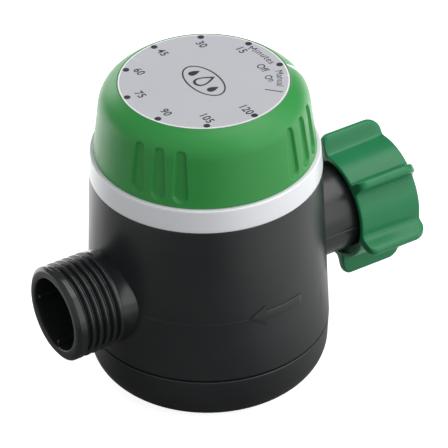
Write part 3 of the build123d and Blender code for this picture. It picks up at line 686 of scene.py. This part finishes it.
def arrow_skin():
    """Arrow as a low bevelled bar that follows the casing's curve."""
    stations = [(arrow_tip, 0.02)]
    stations += [(arrow_tip + (arrow_barb - arrow_tip) * t, arrow_head * t) for t in spread(0.12, 1, 10)]
    stations += [(arrow_barb + 0.05, arrow_shaft)]
    stations += [(x, arrow_shaft) for x in spread(arrow_barb + 0.6, arrow_tail, 20)]
    section = [(-1, -0.3), (-1, 0.4), (-0.93, 0.85), (-0.8, 1), (0, 1), (0.8, 1), (0.93, 0.85),
               (1, 0.4), (1, -0.3)]
    verts = []
    for i, (x, half) in enumerate(stations):
        low = i in (0, len(stations) - 1)
        for side, rise in section:
            z = arrow_z + side * half
            r = wall_r(z) + (min(rise, 0.1) if low else rise) * arrow_rise
            verts.append((x * MM, -math.sqrt(r * r - x * x) * MM, z * MM))
    return verts, bar_faces(len(stations), len(section))


flow_arrow = add_piece("flow_arrow", *arrow_skin(), black_skin, "housing", "black_plastic", sharp=30)
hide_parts("valve_body")

# ---- deck and valve tower ------------------------------------------------------------
# Inside the casing: the deck that keeps the clockwork dry, the tower whose seat the valve
# closes on, and three bosses that the clockwork is screwed to. All moulded in one.
deck_z0, deck_z1, deck_r = 47.6, 50.0, 30.4
deck_hole_r, deck_collar_r, deck_collar_h = 2.0, 4.2, 1.2
tower_y, tower_r, tower_foot_z = 8.0, 10.5, 17.0
chamber_r, seat_z, seat_r = 8.0, 32.0, 4.6
boss_circle, boss_r, boss_hole_r, boss_top_z = 23.5, 2.8, 0.9, 56.0
boss_angles = (15, 140, 250)
full_turn = [2 * math.pi * i / 96 for i in range(96)]


def lathe(profile, x=0.0, y=0.0, angles=full_turn, ring=True):
    """A turned shape from (radius, height) points that run round its section."""
    def point(row, a):
        """A point of the turned shape."""
        r, z = row
        return ((x + r * math.cos(a)) * MM, (y + r * math.sin(a)) * MM, z * MM)
    return skin_between(profile, angles, point, ring=ring)


dry_deck = add_piece(
    "dry_deck", *lathe([(deck_hole_r, deck_z0), (deck_r, deck_z0), (deck_r, deck_z1),
                        (deck_collar_r + 0.4, deck_z1), (deck_collar_r, deck_z1 + 0.3),
                        (deck_collar_r, deck_z1 + deck_collar_h), (deck_hole_r, deck_z1 + deck_collar_h)]),
    black_skin, "housing", "black_plastic")
valve_tower = add_piece(
    "valve_tower", *lathe([(tower_r, tower_foot_z), (tower_r, deck_z0), (seat_r, deck_z0), (seat_r, seat_z),
                           (chamber_r, seat_z), (chamber_r, tower_foot_z)], y=tower_y),
    black_skin, "housing", "black_plastic")
bosses = []
for angle in boss_angles:
    a = math.radians(angle)
    bosses.append(lathe([(boss_r, deck_z1), (boss_r, boss_top_z - 0.2), (boss_r - 0.2, boss_top_z),
                         (boss_hole_r, boss_top_z), (boss_hole_r, deck_z1)],
                        boss_circle * math.cos(a), boss_circle * math.sin(a), full_turn[::3]))
boss_verts = [v for verts, _ in bosses for v in verts]
boss_faces = [tuple(i + n * len(bosses[0][0]) for i in face)
              for n, (_, faces) in enumerate(bosses) for face in faces]
clock_bosses = add_piece("clock_bosses", boss_verts, boss_faces, black_skin, "housing", "black_plastic")
for piece in (dry_deck, valve_tower, clock_bosses):
    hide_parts("valve_body")

# ---- base cap ------------------------------------------------------------------------
# Rounded foot snapped into the casing from below, with a dark seam between the two.
cap_flat_r, cap_bend = 23.7, 9.3
seam_gap, cap_edge_r = 0.5, 33.33
cap_top_z = wall_foot_z - seam_gap
cap_lip_r, cap_lip_rise = wall_foot_r - wall_t, 4.5
cap_wall, cap_floor_z, cap_floor_bend = 1.8, 2.4, 3.6


def cap_profile():
    """Section of the cap from the middle of its foot round to the middle of its floor."""
    rows = [(0.0, 0.0), (cap_flat_r * 0.5, 0.0), (cap_flat_r, 0.0)]
    for a in spread(0, math.pi / 2, 32)[1:]:
        rows.append((cap_flat_r + cap_bend * math.sin(a), cap_bend * (1 - math.cos(a))))
    rows += [(cap_flat_r + cap_bend + 0.33 * t, cap_bend + (cap_top_z - 0.35 - cap_bend) * t)
             for t in spread(0.2, 1, 5)]
    rows += [(cap_edge_r - 0.05, cap_top_z - 0.15), (cap_edge_r - 0.2, cap_top_z - 0.03),
             (cap_edge_r - 0.45, cap_top_z), (cap_lip_r, cap_top_z),
             (cap_lip_r - 0.2, cap_top_z + cap_lip_rise), (cap_lip_r - cap_wall, cap_top_z + cap_lip_rise),
             (cap_lip_r - cap_wall, cap_bend)]
    rows += [(cap_lip_r - cap_wall - cap_floor_bend * (1 - math.cos(a)),
              cap_bend - (cap_bend - cap_floor_z) * math.sin(a))
             for a in spread(0.1, math.pi / 2, 8)]
    return rows + [(cap_flat_r * 0.5, cap_floor_z), (0.0, cap_floor_z)]


fine_turn = [2 * math.pi * i / 256 for i in range(256)]
foot_cap = add_piece("foot_cap", *lathe(cap_profile(), angles=fine_turn, ring=False), black_skin,
                     "housing", "black_plastic", sharp=40)
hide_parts("base_cap")

# ---- trim ring -----------------------------------------------------------------------
# Silver-painted collar that closes the top of the casing and sets off the dial.
ring_lip_z, ring_foot_z, ring_bevel_z, ring_top_z = 60.5, 63.5, 63.8, 70.2
ring_foot_r, ring_top_r, ring_lip_r, ring_bore_r = 31.8, 31.38, 29.3, 27.6
silver_deep, silver_pale = (0.72, 0.73, 0.76, 1), (0.80, 0.81, 0.84, 1)
silver_paint = skin_finish("silver_paint", silver_deep, silver_pale, (0.85, 0.86, 0.88, 1), (0.30, 0.38),
                           grain=5200.0, grain_depth=0.003, metallic=0.10, coat=0.15,
                           flow_scale=40.0, edge=0.8)


def ring_profile():
    """Section of the trim ring, anticlockwise from its inner foot."""
    rows = [(ring_bore_r + 0.4, ring_lip_z), (ring_lip_r, ring_lip_z),
            (ring_lip_r + 0.05, ring_foot_z - 0.05),
            (ring_foot_r - 0.35, ring_foot_z - 0.05), (ring_foot_r - 0.18, ring_foot_z),
            (ring_foot_r - 0.04, ring_foot_z + 0.1), (ring_foot_r, ring_bevel_z)]
    rows += [(ring_foot_r + (ring_top_r - ring_foot_r) * t,
              ring_bevel_z + (ring_top_z - 0.35 - ring_bevel_z) * t) for t in spread(0.1, 1, 9)]
    rows += [(ring_top_r - 0.04, ring_top_z - 0.18), (ring_top_r - 0.16, ring_top_z - 0.06),
             (ring_top_r - 0.36, ring_top_z), (ring_bore_r + 1.0, ring_top_z),
             (ring_bore_r + 0.6, ring_top_z - 0.15), (ring_bore_r + 0.1, ring_top_z - 1.4),
             (ring_bore_r, ring_top_z - 1.6), (ring_bore_r, ring_lip_z + 0.5)]
    return rows


trim_collar = add_piece("trim_collar", *lathe(ring_profile(), angles=fine_turn), silver_paint,
                        "housing", "silver_plastic", sharp=40)
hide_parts("trim_ring")

# ---- dial ----------------------------------------------------------------------------
# Green cap that is turned by hand, injection moulded, with four groups of three tapered
# finger grooves. A web inside it carries the hub that grips the clockwork's sleeve.
dial_foot_r, dial_foot_z = 30.3, 70.26
dial_waist_r, dial_waist_z = 28.71, 84.05
dial_mouth_r, dial_top_z = 23.24, 91.3
shoulder_start_pull, shoulder_end_pull = 3.161, 4.222     # reach of the curve's two handles
shoulder_lean, shoulder_end_slope = -0.1147, 0.572        # radians: from upright, and from level
shoulder_step, shoulder_points = 3 / 23, 7
mouth_edge = [(23.55, 91.12), (23.38, 91.27)]
dial_wall, disc_seat_r, disc_seat_z = 2.0, 21.5, 88.2
web_z0, web_z1, web_r = 84.6, 86.6, 25.2
hub_r, hub_foot_z, hub_bore_r, hub_socket_r, hub_step_z = 6.2, 75.0, 2.4, 3.45, 83.6
groove_groups, groove_step = (33, 123, 213, 303), 12.2
groove_low_z, groove_high_z = 71.7, 86.8
groove_low_r, groove_high_r = 2.15, 1.5
groove_depth, groove_slope, groove_reach = 0.85, 0.60, 2.5
green_deep, green_pale = (0.017, 0.225, 0.038, 1), (0.026, 0.275, 0.054, 1)
dial_green = skin_finish("dial_green", green_deep, green_pale, (0.10, 0.40, 0.13, 1), (0.36, 0.48),
                         grain=2400.0, grain_depth=0.005, flow_scale=35.0, specular=0.42, edge=0.0)
groove_angles = [math.radians(g + n * groove_step) for g in groove_groups for n in (-1, 0, 1)]


def shoulder_curve():
    """(radius, height) points over the shoulder, on one smooth curve from the waist to the mouth."""
    start, end = Vector((dial_waist_r, dial_waist_z)), Vector((dial_mouth_r, dial_top_z))
    near = start + shoulder_start_pull * Vector((math.sin(shoulder_lean), math.cos(shoulder_lean)))
    far = end + shoulder_end_pull * Vector((math.cos(shoulder_end_slope), -math.sin(shoulder_end_slope)))
    points = []
    for n in range(1, shoulder_points + 1):
        t = n * shoulder_step
        spot = (1 - t) ** 3 * start + 3 * (1 - t) ** 2 * t * near + 3 * (1 - t) * t * t * far + t ** 3 * end
        points.append((spot.x, spot.y))
    return points + mouth_edge


dial_shoulder = shoulder_curve()


def groove_cut(side, z):
    """Depth of a finger groove at a sideways distance and height: a tapered round-ended pocket."""
    low, high = groove_low_z + groove_low_r, groove_high_z - groove_high_r
    length = high - low
    lean = (groove_low_r - groove_high_r) / length
    up = max(0.0, min(length, (z - low) + abs(side) * lean))
    near_r = groove_low_r - (groove_low_r - groove_high_r) * up / length
    inside = near_r - math.hypot(side, z - low - up)
    return groove_depth * eased((inside + 0.10) / groove_slope)


def dial_columns():
    """Angles round the dial, close together over the grooves."""
    angles = []
    reach = groove_reach / dial_foot_r
    for centre in groove_angles:
        angles += [centre + reach * s for s in spread(-1, 1, 41)]
    for i in range(180):
        a = 2 * math.pi * i / 180
        clear = all(abs(math.remainder(a - c, 2 * math.pi)) > reach + 0.012 for c in groove_angles)
        if clear:
            angles.append(a)
    return sorted(a % (2 * math.pi) for a in angles)


def dial_profile():
    """(radius, height, grooved) round the dial's section, from the foot's outer edge."""
    slope = (dial_waist_r - dial_foot_r) / (dial_waist_z - dial_foot_z)
    rows = [(dial_foot_r - 0.3, dial_foot_z, 0), (dial_foot_r - 0.08, dial_foot_z + 0.08, 0),
            (dial_foot_r, dial_foot_z + 0.3, 0)]
    rows += [(dial_foot_r + slope * (z - dial_foot_z), z, 1) for z in spread(71.4, dial_waist_z, 44)]
    curve = [(dial_waist_r, dial_waist_z)] + dial_shoulder
    for (r0, z0), (r1, z1) in zip(curve, curve[1:]):
        for t in (0.25, 0.5, 0.75, 1.0) if z1 < 87 else (0.5, 1.0):
            rows.append((r0 + (r1 - r0) * t, z0 + (z1 - z0) * t, 1))
    inner = [(dial_mouth_r, dial_top_z - 0.15), (dial_mouth_r, disc_seat_z), (disc_seat_r, disc_seat_z),
             (disc_seat_r, web_z1), (hub_bore_r, web_z1), (hub_bore_r, hub_step_z),
             (hub_socket_r, hub_step_z),
             (hub_socket_r, hub_foot_z), (hub_r, hub_foot_z), (hub_r, web_z0), (web_r, web_z0),
             (web_r + 1.0, web_z0 - 0.6), (dial_waist_r - dial_wall, dial_waist_z - 1.2),
             (dial_foot_r - dial_wall - 0.2, dial_foot_z + 0.74), (dial_foot_r - dial_wall, dial_foot_z)]
    return rows + [(r, z, 0) for r, z in inner]


def dial_skin():
    """The dial's whole surface, with its grooves pressed in square to the cone."""
    columns = dial_columns()
    verts, faces = [], []
    rows = dial_profile()
    for r, z, grooved in rows:
        for a in columns:
            cut = 0.0
            if grooved:
                side = min((math.remainder(a - c, 2 * math.pi) for c in groove_angles), key=abs) * r
                if abs(side) < groove_reach:
                    cut = groove_cut(side, z)
            verts.append(((r - cut) * math.cos(a) * MM, (r - cut) * math.sin(a) * MM, z * MM))
    n, m = len(rows), len(columns)
    for i in range(n):
        for j in range(m):
            faces.append((i * m + j, i * m + (j + 1) % m, (i + 1) % n * m + (j + 1) % m, (i + 1) % n * m + j))
    return verts, faces


dial_cap = add_piece("dial_cap", *dial_skin(), dial_green, "dial", "green_dial", sharp=48)
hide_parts("timer_dial")

# ---- dial pointer --------------------------------------------------------------------
# White wedge printed on the dial's shoulder. It points at the minutes on the scale disc.
pointer_angle = math.radians(-13.5)
ink_rise = 0.03
# Also used for the painted highlight ring at the scale disc's edge.
white_ink_and_glint = skin_finish("white_ink_and_glint", (0.80, 0.80, 0.78, 1), (0.88, 0.88, 0.86, 1), (0.9, 0.9, 0.9, 1),
                        (0.45, 0.55), grain=3000.0, grain_depth=0.002)


def pointer_skin():
    """The wedge as a thin film that follows the shoulder outwards and down."""
    curve = [(dial_waist_r, dial_waist_z)] + dial_shoulder
    curve = [p for p in reversed(curve) if 87.0 < p[1] < 91.2]
    verts, faces, run = [], [], 0.0
    last = curve[0]
    for r, z in curve:
        run += math.hypot(r - last[0], z - last[1])
        last = (r, z)
        half = (0.30 + 0.24 * run) / r
        for rise in (-0.05, ink_rise):
            for a in spread(-half, half, 5):
                verts.append(((r + rise) * math.cos(pointer_angle + a) * MM,
                              (r + rise) * math.sin(pointer_angle + a) * MM, (z + rise) * MM))
    order = [0, 1, 2, 3, 4, 9, 8, 7, 6, 5]
    for i in range(len(curve) - 1):
        for j in range(10):
            a, b = order[j], order[(j + 1) % 10]
            faces.append((i * 10 + a, i * 10 + b, (i + 1) * 10 + b, (i + 1) * 10 + a))
    faces.append(tuple(order))
    faces.append(tuple((len(curve) - 1) * 10 + k for k in order))
    return verts, faces


add_piece("dial_pointer", *pointer_skin(), white_ink_and_glint, "dial", "white_plastic")

# ---- scale disc ----------------------------------------------------------------------
# Silver disc held still on the centre post inside the turning dial, printed in black with
# the minutes. It is painted plastic, and a white ring just inside its edge is a painted
# highlight that stands in for the glint of the edge.
disc_r, disc_top_z, disc_foot_z = 23.14, 91.2, 89.7
disc_hub_r, disc_hub_z, disc_bore_r = 4.0, 87.4, 2.02
ink_half = 0.01
disc_paint = skin_finish("disc_paint", (0.515, 0.525, 0.565, 1), (0.555, 0.565, 0.605, 1),
                         (0.85, 0.86, 0.88, 1), (0.38, 0.46), grain=5200.0, grain_depth=0.002, metallic=0.15,
                         flow_scale=30.0, edge=0.7)
scale_disc = add_piece(
    "scale_disc",
    *lathe([(0, disc_top_z)] + [(r, disc_top_z) for r in (6, 12, 18, 22.4)]
           + [(disc_r - 0.12, disc_top_z), (disc_r - 0.03, disc_top_z - 0.04), (disc_r, disc_top_z - 0.15),
              (disc_r, disc_foot_z), (disc_hub_r, disc_foot_z), (disc_hub_r, disc_hub_z),
              (disc_bore_r, disc_hub_z), (disc_bore_r, disc_foot_z),
              (0, disc_foot_z)], angles=fine_turn, ring=False),
    disc_paint, "housing", "silver_plastic", sharp=40)
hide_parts("dial_label")
black_ink = skin_finish("black_ink", (0.012, 0.013, 0.016, 1), (0.022, 0.023, 0.026, 1),
                        (0.06, 0.06, 0.06, 1), (0.42, 0.55), grain=4200.0, grain_depth=0.002)

# White ring just inside the disc's edge: a painted highlight for the edge's glint, in the white ink's colour.
add_piece(
    "rim_glint_ring", *lathe([(disc_r - 0.13, disc_top_z - 0.02), (disc_r - 0.13, disc_top_z + 0.03),
                        (disc_r - 0.46, disc_top_z + 0.03), (disc_r - 0.46, disc_top_z - 0.02)],
                       angles=fine_turn),
    white_ink_and_glint, "housing", "white_plastic")

# ---- printed minutes -----------------------------------------------------------------
# Screen-printed scale: nine dots, the minutes beside them, and the plain words for the
# unit and for the two hand settings. An oval badge with three drops of water stands in
# the middle.
ink_z = disc_top_z + ink_half
scale_first, scale_step = -12, 36
dot_circle, dot_r = 21.75, 0.92


def flat_ink(name, outlines):
    """A thin printed mark from closed (x, y) outlines on the disc."""
    art = bpy.data.curves.new(name, "CURVE")
    art.dimensions = "2D"
    art.fill_mode = "BOTH"
    art.extrude = ink_half * MM
    for outline in outlines:
        line = art.splines.new("POLY")
        line.points.add(len(outline) - 1)
        for point, (x, y) in zip(line.points, outline):
            point.co = (x * MM, y * MM, 0, 1)
        line.use_cyclic_u = True
    return art


def printed(name, art, place):
    """Turn a flat curve or text into a mesh, then lay it on the disc."""
    holder = bpy.data.objects.new(name, art)
    bpy.context.scene.collection.objects.link(holder)
    mesh = bpy.data.meshes.new_from_object(holder.evaluated_get(bpy.context.evaluated_depsgraph_get()))
    bpy.data.objects.remove(holder)
    for vertex in mesh.vertices:
        x, y = place(vertex.co.x / MM, vertex.co.y / MM)
        vertex.co = (x * MM, y * MM, ink_z * MM + vertex.co.z)
    work = bmesh.new()
    work.from_mesh(mesh)
    bmesh.ops.remove_doubles(work, verts=work.verts, dist=1e-8)
    bmesh.ops.recalc_face_normals(work, faces=work.faces)
    work.to_mesh(mesh)
    work.free()
    mesh.materials.clear()
    mesh.materials.append(black_ink)
    piece = bpy.data.objects.new(name, mesh)
    bpy.context.scene.collection.objects.link(piece)
    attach(piece, "housing")
    return piece


def lettering(name, words, height, bold=0.05):
    """Text centred on its own middle, as a flat curve."""
    art = bpy.data.curves.new(name, "FONT")
    art.body = words
    art.size = height * 1.42 * MM
    art.align_x, art.align_y = "CENTER", "CENTER"
    art.space_character = 1.08
    art.extrude = ink_half * MM
    art.offset = bold * MM
    return art


def upright(radius, angle, narrow=0.86):
    """Place for a mark that reads upright towards the inlet side of the disc."""
    a = math.radians(angle)
    cx, cy = radius * math.cos(a), radius * math.sin(a)
    return lambda x, y: (cx + y, cy - x * narrow)


def curved(radius, angle, narrow=0.86):
    """Place for a word bent round the disc, its tops outwards."""
    middle = math.radians(angle)

    def place(x, y):
        """A point of the word on its arc."""
        a = middle - x * narrow / radius
        return (radius + y) * math.cos(a), (radius + y) * math.sin(a)
    return place


def dot_disc():
    """One printed dot on the scale's circle, thin and round."""
    verts, faces, sides = [], [], 32
    for z in (-ink_half, ink_half):
        for i in range(sides):
            a = 2 * math.pi * i / sides
            verts.append(((dot_circle + dot_r * math.cos(a)) * MM, dot_r * math.sin(a) * MM, z * MM))
    for i in range(sides):
        j = (i + 1) % sides
        faces.append((i, j, sides + j, sides + i))
    faces += [tuple(range(sides)), tuple(range(sides, 2 * sides))]
    return verts, faces


copies_round("minute_dots", *dot_disc(), black_ink, "housing", "black_plastic",
             9, math.radians(scale_first), math.radians(scale_step), (0, 0, 1), (0, 0, ink_z * MM))
for step in range(1, 9):
    minutes = str(15 * step)
    printed("minutes_" + minutes, lettering("minutes_" + minutes, minutes, 2.35),
            upright(18.1, scale_first + scale_step * step, 0.92))
printed("word_off", lettering("word_off", "Off", 2.2, 0.03), upright(16.8, -11.5, 0.86))
printed("word_on", lettering("word_on", "On", 2.1, 0.03), upright(17.6, -30, 0.78))
printed("word_minutes", lettering("word_minutes", "Minutes", 2.15, 0.0), curved(20.2, 6.0, 1.0))
printed("word_manual", lettering("word_manual", "Manual", 2.05, 0.0), curved(20.5, -30.3, 0.90))


def radial_stroke(angle, r0, r1, width):
    """A short printed line along a radius."""
    a = math.radians(angle)
    along, across = (math.cos(a), math.sin(a)), (-math.sin(a) * width / 2, math.cos(a) * width / 2)
    return [(r0 * along[0] + across[0], r0 * along[1] + across[1]),
            (r1 * along[0] + across[0], r1 * along[1] + across[1]),
            (r1 * along[0] - across[0], r1 * along[1] - across[1]),
            (r0 * along[0] - across[0], r0 * along[1] - across[1])]


def drop_outline(cx, cy, size, shrink=0.0, sides=40):
    """A water drop, point towards the inlet, as (x, y) points."""
    points = []
    for i in range(sides):
        t = 2 * math.pi * i / sides
        wide = (size / 2 - shrink) * math.sin(t) * math.sin(t / 2) ** 1.3
        tall = (size * 0.62 - shrink * 1.3) * math.cos(t)
        points.append((cx + tall, cy + wide))
    return points


def oval_outline(long, short, sides=72):
    """An oval round the disc's middle, its long way across the words."""
    return [(short * math.cos(2 * math.pi * i / sides), long * math.sin(2 * math.pi * i / sides))
            for i in range(sides)]


printed("manual_stroke", flat_ink("manual_stroke", [radial_stroke(-48, 17.0, 21.9, 0.36)]),
        lambda x, y: (x, y))
printed("drop_badge", flat_ink("drop_badge", [
    oval_outline(8.3, 4.6), oval_outline(7.85, 4.15),
    drop_outline(0.3, 0.0, 5.4), drop_outline(0.1, 0.0, 5.4, 0.75),
    drop_outline(0.0, 4.7, 2.9), drop_outline(0.0, -4.7, 2.9)]), lambda x, y: (x, y))

# ---- swivel nut ----------------------------------------------------------------------
# Green coupling nut that turns on the inlet neck, moulded with six finger lugs outside
# and a female hose thread inside. The lugs flare into the nut with a hollow fillet.
nut_x0, nut_x1 = 41.0, 59.9
nut_r0, nut_r1 = 15.4, 15.9
lug_tip_r, lug_count, lug_first = 20.9, 6, -14
near_round, hose_round = 2.2, 4.2
nut_edge = 0.45
nut_crest_r, nut_root_r = 12.75, 13.7
nut_thread_x = 51.2
nut_relief_r, nut_lip_r, nut_lip_x0, nut_lip_x1 = 13.5, 12.4, 43.6, 46.5
nut_skirt_r, nut_skirt_x = 14.0, 41.3
nut_deep, nut_pale = (0.012, 0.170, 0.062, 1), (0.019, 0.215, 0.085, 1)
nut_green = skin_finish("nut_green", nut_deep, nut_pale, (0.09, 0.40, 0.20, 1), (0.26, 0.36),
                        grain=1800.0, grain_depth=0.005, flow_scale=45.0, specular=0.30, edge=0.2)
lug_section = [(0.0, 5.10), (0.40, 5.08), (0.72, 4.99), (0.98, 4.80), (1.16, 4.52), (1.26, 4.1), (1.32, 3.4),
               (1.38, 2.5), (1.44, 1.7), (1.53, 1.05), (1.70, 0.58), (1.95, 0.27), (2.25, 0.09), (2.6, 0.0),
               (3.2, 0.0), (4.0, 0.0)]


def nut_columns():
    """(angle, height of the lug there) round the nut."""
    columns = []
    for n in range(lug_count):
        centre = math.radians(180 - lug_first - n * 360 / lug_count)
        for side, rise in lug_section:
            columns.append(((centre + side / (nut_r0 + rise)) % (2 * math.pi), rise))
            if side:
                columns.append(((centre - side / (nut_r0 + rise)) % (2 * math.pi), rise))
        for s in spread(0.27, 0.73, 9):
            columns.append(((centre + s * 2 * math.pi / lug_count) % (2 * math.pi), 0.0))
    return sorted(columns)


def lug_limit(x):
    """How high a lug may stand at a station along the nut: both its ends are rounded."""
    height = lug_tip_r - nut_r0
    for reach, bend in ((x - nut_x0, near_round), (nut_x1 - x, hose_round)):
        if reach < bend:
            height = min(height, lug_tip_r - nut_r0 - bend + math.sqrt(bend ** 2 - (bend - reach) ** 2))
    return height


def nut_rows():
    """(x, set-back of the outside, or None, and radius of the inside) round the nut's section."""
    rows = [(nut_x0, nut_edge, None), (nut_x0 + 0.06, nut_edge * 0.52, None),
            (nut_x0 + 0.18, nut_edge * 0.2, None), (nut_x0 + 0.45, 0.0, None)]
    rows += [(x, 0.0, None) for x in spread(nut_x0 + 0.8, nut_x0 + 2.6, 7)]
    rows += [(x, 0.0, None) for x in spread(nut_x0 + 3.6, nut_x1 - 5, 12)]
    rows += [(x, 0.0, None) for x in spread(nut_x1 - 4.2, nut_x1 - 0.6, 13)]
    rows += [(nut_x1 - 0.4, 0.03, None), (nut_x1 - 0.18, nut_edge * 0.25, None),
             (nut_x1 - 0.06, nut_edge * 0.55, None), (nut_x1, nut_edge, None)]
    rows += [(nut_x1, None, nut_root_r + 0.25), (nut_x1 - 0.1, None, nut_root_r + 0.02),
             (nut_x1 - 0.7, None, nut_crest_r + 0.2), (nut_x1 - 0.95, None, nut_crest_r)]
    rows += [(x, None, 0.0) for x in spread(nut_x1 - 1.1, nut_thread_x + 0.1, 50)]
    rows += [(nut_thread_x, None, nut_crest_r), (nut_thread_x, None, nut_relief_r),
             (nut_lip_x1, None, nut_relief_r), (nut_lip_x1, None, nut_lip_r), (nut_lip_x0, None, nut_lip_r),
             (nut_lip_x0, None, nut_skirt_r - 0.1), (nut_skirt_x, None, nut_skirt_r),
             (nut_x0, None, nut_skirt_r + 0.2)]
    return rows


def nut_point(row, column):
    """A point of the nut's skin."""
    x, back, inner = row
    a, rise = column
    if back is None:
        if inner == 0.0:
            inner = thread_r(x, a, nut_crest_r, nut_root_r, nut_thread_x + 1.2, nut_x1 - 1.4)
        return water_ring(x, inner, a, inlet_z)
    r = nut_r0 + (nut_r1 - nut_r0) * (x - nut_x0) / (nut_x1 - nut_x0)
    stand = rise / lug_section[0][1] * (lug_tip_r - r) * lug_limit(x) / (lug_tip_r - nut_r0)
    return water_ring(x, r + stand - back, a, inlet_z)


swivel_nut = add_piece("swivel_nut", *skin_between(nut_rows(), nut_columns(), nut_point), nut_green,
                       "swivel_nut", "green_nut", sharp=50)
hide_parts("inlet_coupling")

# ---- coupling washer -----------------------------------------------------------------
# Flat black rubber washer in the nut, pressed on by the tap's end. Its edges are soft and
# its faces carry the press's faint rings.
washer_x0, washer_x1, washer_r, washer_bore_r = 48.3, 50.9, 12.6, 8.5
press_ring_depth = 0.12
rubber = skin_finish("soft_rubber", (0.010, 0.010, 0.010, 1), (0.022, 0.021, 0.020, 1), (0.05, 0.05, 0.05, 1),
                     (0.55, 0.72), grain=1500.0, grain_depth=0.012, specular=0.35)
washer_section = [(washer_x0, washer_bore_r + 0.2), (washer_x0, washer_r - 0.2), (washer_x0 + 0.2, washer_r),
                  (washer_x1 - 0.25, washer_r), (washer_x1 - 0.05, washer_r - 0.18),
                  (washer_x1, washer_r - 0.4)]
for ring_r in (11.6, 10.7, 9.8):
    washer_section += [(washer_x1, ring_r + 0.2), (washer_x1 - press_ring_depth, ring_r + 0.1),
                       (washer_x1 - press_ring_depth, ring_r - 0.1), (washer_x1, ring_r - 0.2)]
washer_section += [(washer_x1, washer_bore_r + 0.3), (washer_x1 - 0.08, washer_bore_r + 0.1),
                   (washer_x1 - 0.3, washer_bore_r), (washer_x0 + 0.2, washer_bore_r)]


def washer_point(row, a):
    """A point of the washer's skin."""
    return water_ring(row[0], row[1], a, inlet_z)


hose_washer = add_piece("hose_washer", *skin_between(washer_section, full_turn, washer_point),
                        rubber, "housing", "rubber", sharp=40)
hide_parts("coupling_washer")

# ---- valve parts ---------------------------------------------------------------------
# Under the deck and out of sight: plunger and plug in white acetal, soft black seals,
# a steel spring, and the brass bush that keeps the stem's ring in place.
acetal = skin_finish("white_acetal", (0.62, 0.62, 0.59, 1), (0.72, 0.72, 0.69, 1), (0.8, 0.8, 0.78, 1),
                     (0.34, 0.48), grain=2200.0, grain_depth=0.004)


def metal_finish(name, deep, pale, gloss, grain_depth=0.003):
    """Bare metal with fine drawn marks and slightly dulled patches."""
    return skin_finish(name, deep, pale, pale, gloss, grain=3800.0, grain_depth=grain_depth, metallic=1.0,
                       flow_scale=90.0, edge=0.3)


drawn_steel = metal_finish("drawn_steel", (0.42, 0.42, 0.42, 1), (0.56, 0.56, 0.57, 1), (0.24, 0.42))
rolled_brass = metal_finish("rolled_brass", (0.55, 0.36, 0.12, 1), (0.72, 0.51, 0.22, 1), (0.22, 0.40))
slot_finish = {"black_plastic": black_skin, "green_dial": dial_green, "green_nut": nut_green,
               "silver_plastic": silver_paint, "white_plastic": acetal, "rubber": rubber,
               "brass": rolled_brass, "steel": drawn_steel}
node_slot = {part["node"]: part["material_slot"] for part in frame["record"]["subparts"]}


def dress(*nodes):
    """Give CAD parts the finish of their own slot."""
    for node in nodes:
        mesh = frame["nodes"][node].data
        mesh.materials.clear()
        mesh.materials.append(slot_finish[node_slot[node]])


dress("valve_stem", "valve_seal", "valve_spring", "chamber_plug", "plug_o_ring", "stem_o_ring", "gland_bush")

# ---- clockwork frame -----------------------------------------------------------------
# Two round brass plates on turned steel pillars, screwed together and down to the bosses,
# round the fixed centre post that also holds the scale disc.
dress("centre_post", "bottom_plate", "top_plate", "pillars", "plate_screws", "fixing_screws")

# ---- clockwork train -----------------------------------------------------------------
# Sleeve with its cam, mainspring and great wheel, then the train of brass wheels on steel
# pinions that ends in the escape wheel and the balance.
dress("centre_sleeve", "valve_cam", "mainspring", "main_wheel", "second_pinion", "second_wheel",
      "third_pinion", "third_wheel", "escape_pinion", "escape_wheel", "balance_wheel", "balance_staff",
      "hairspring")

# ---- hidden nodes' finishes ----------------------------------------------------------
# The moulded parts that the pieces above stand for keep their slot's finish as well.
dress("valve_body", "base_cap", "trim_ring", "timer_dial", "dial_label", "inlet_coupling", "coupling_washer")
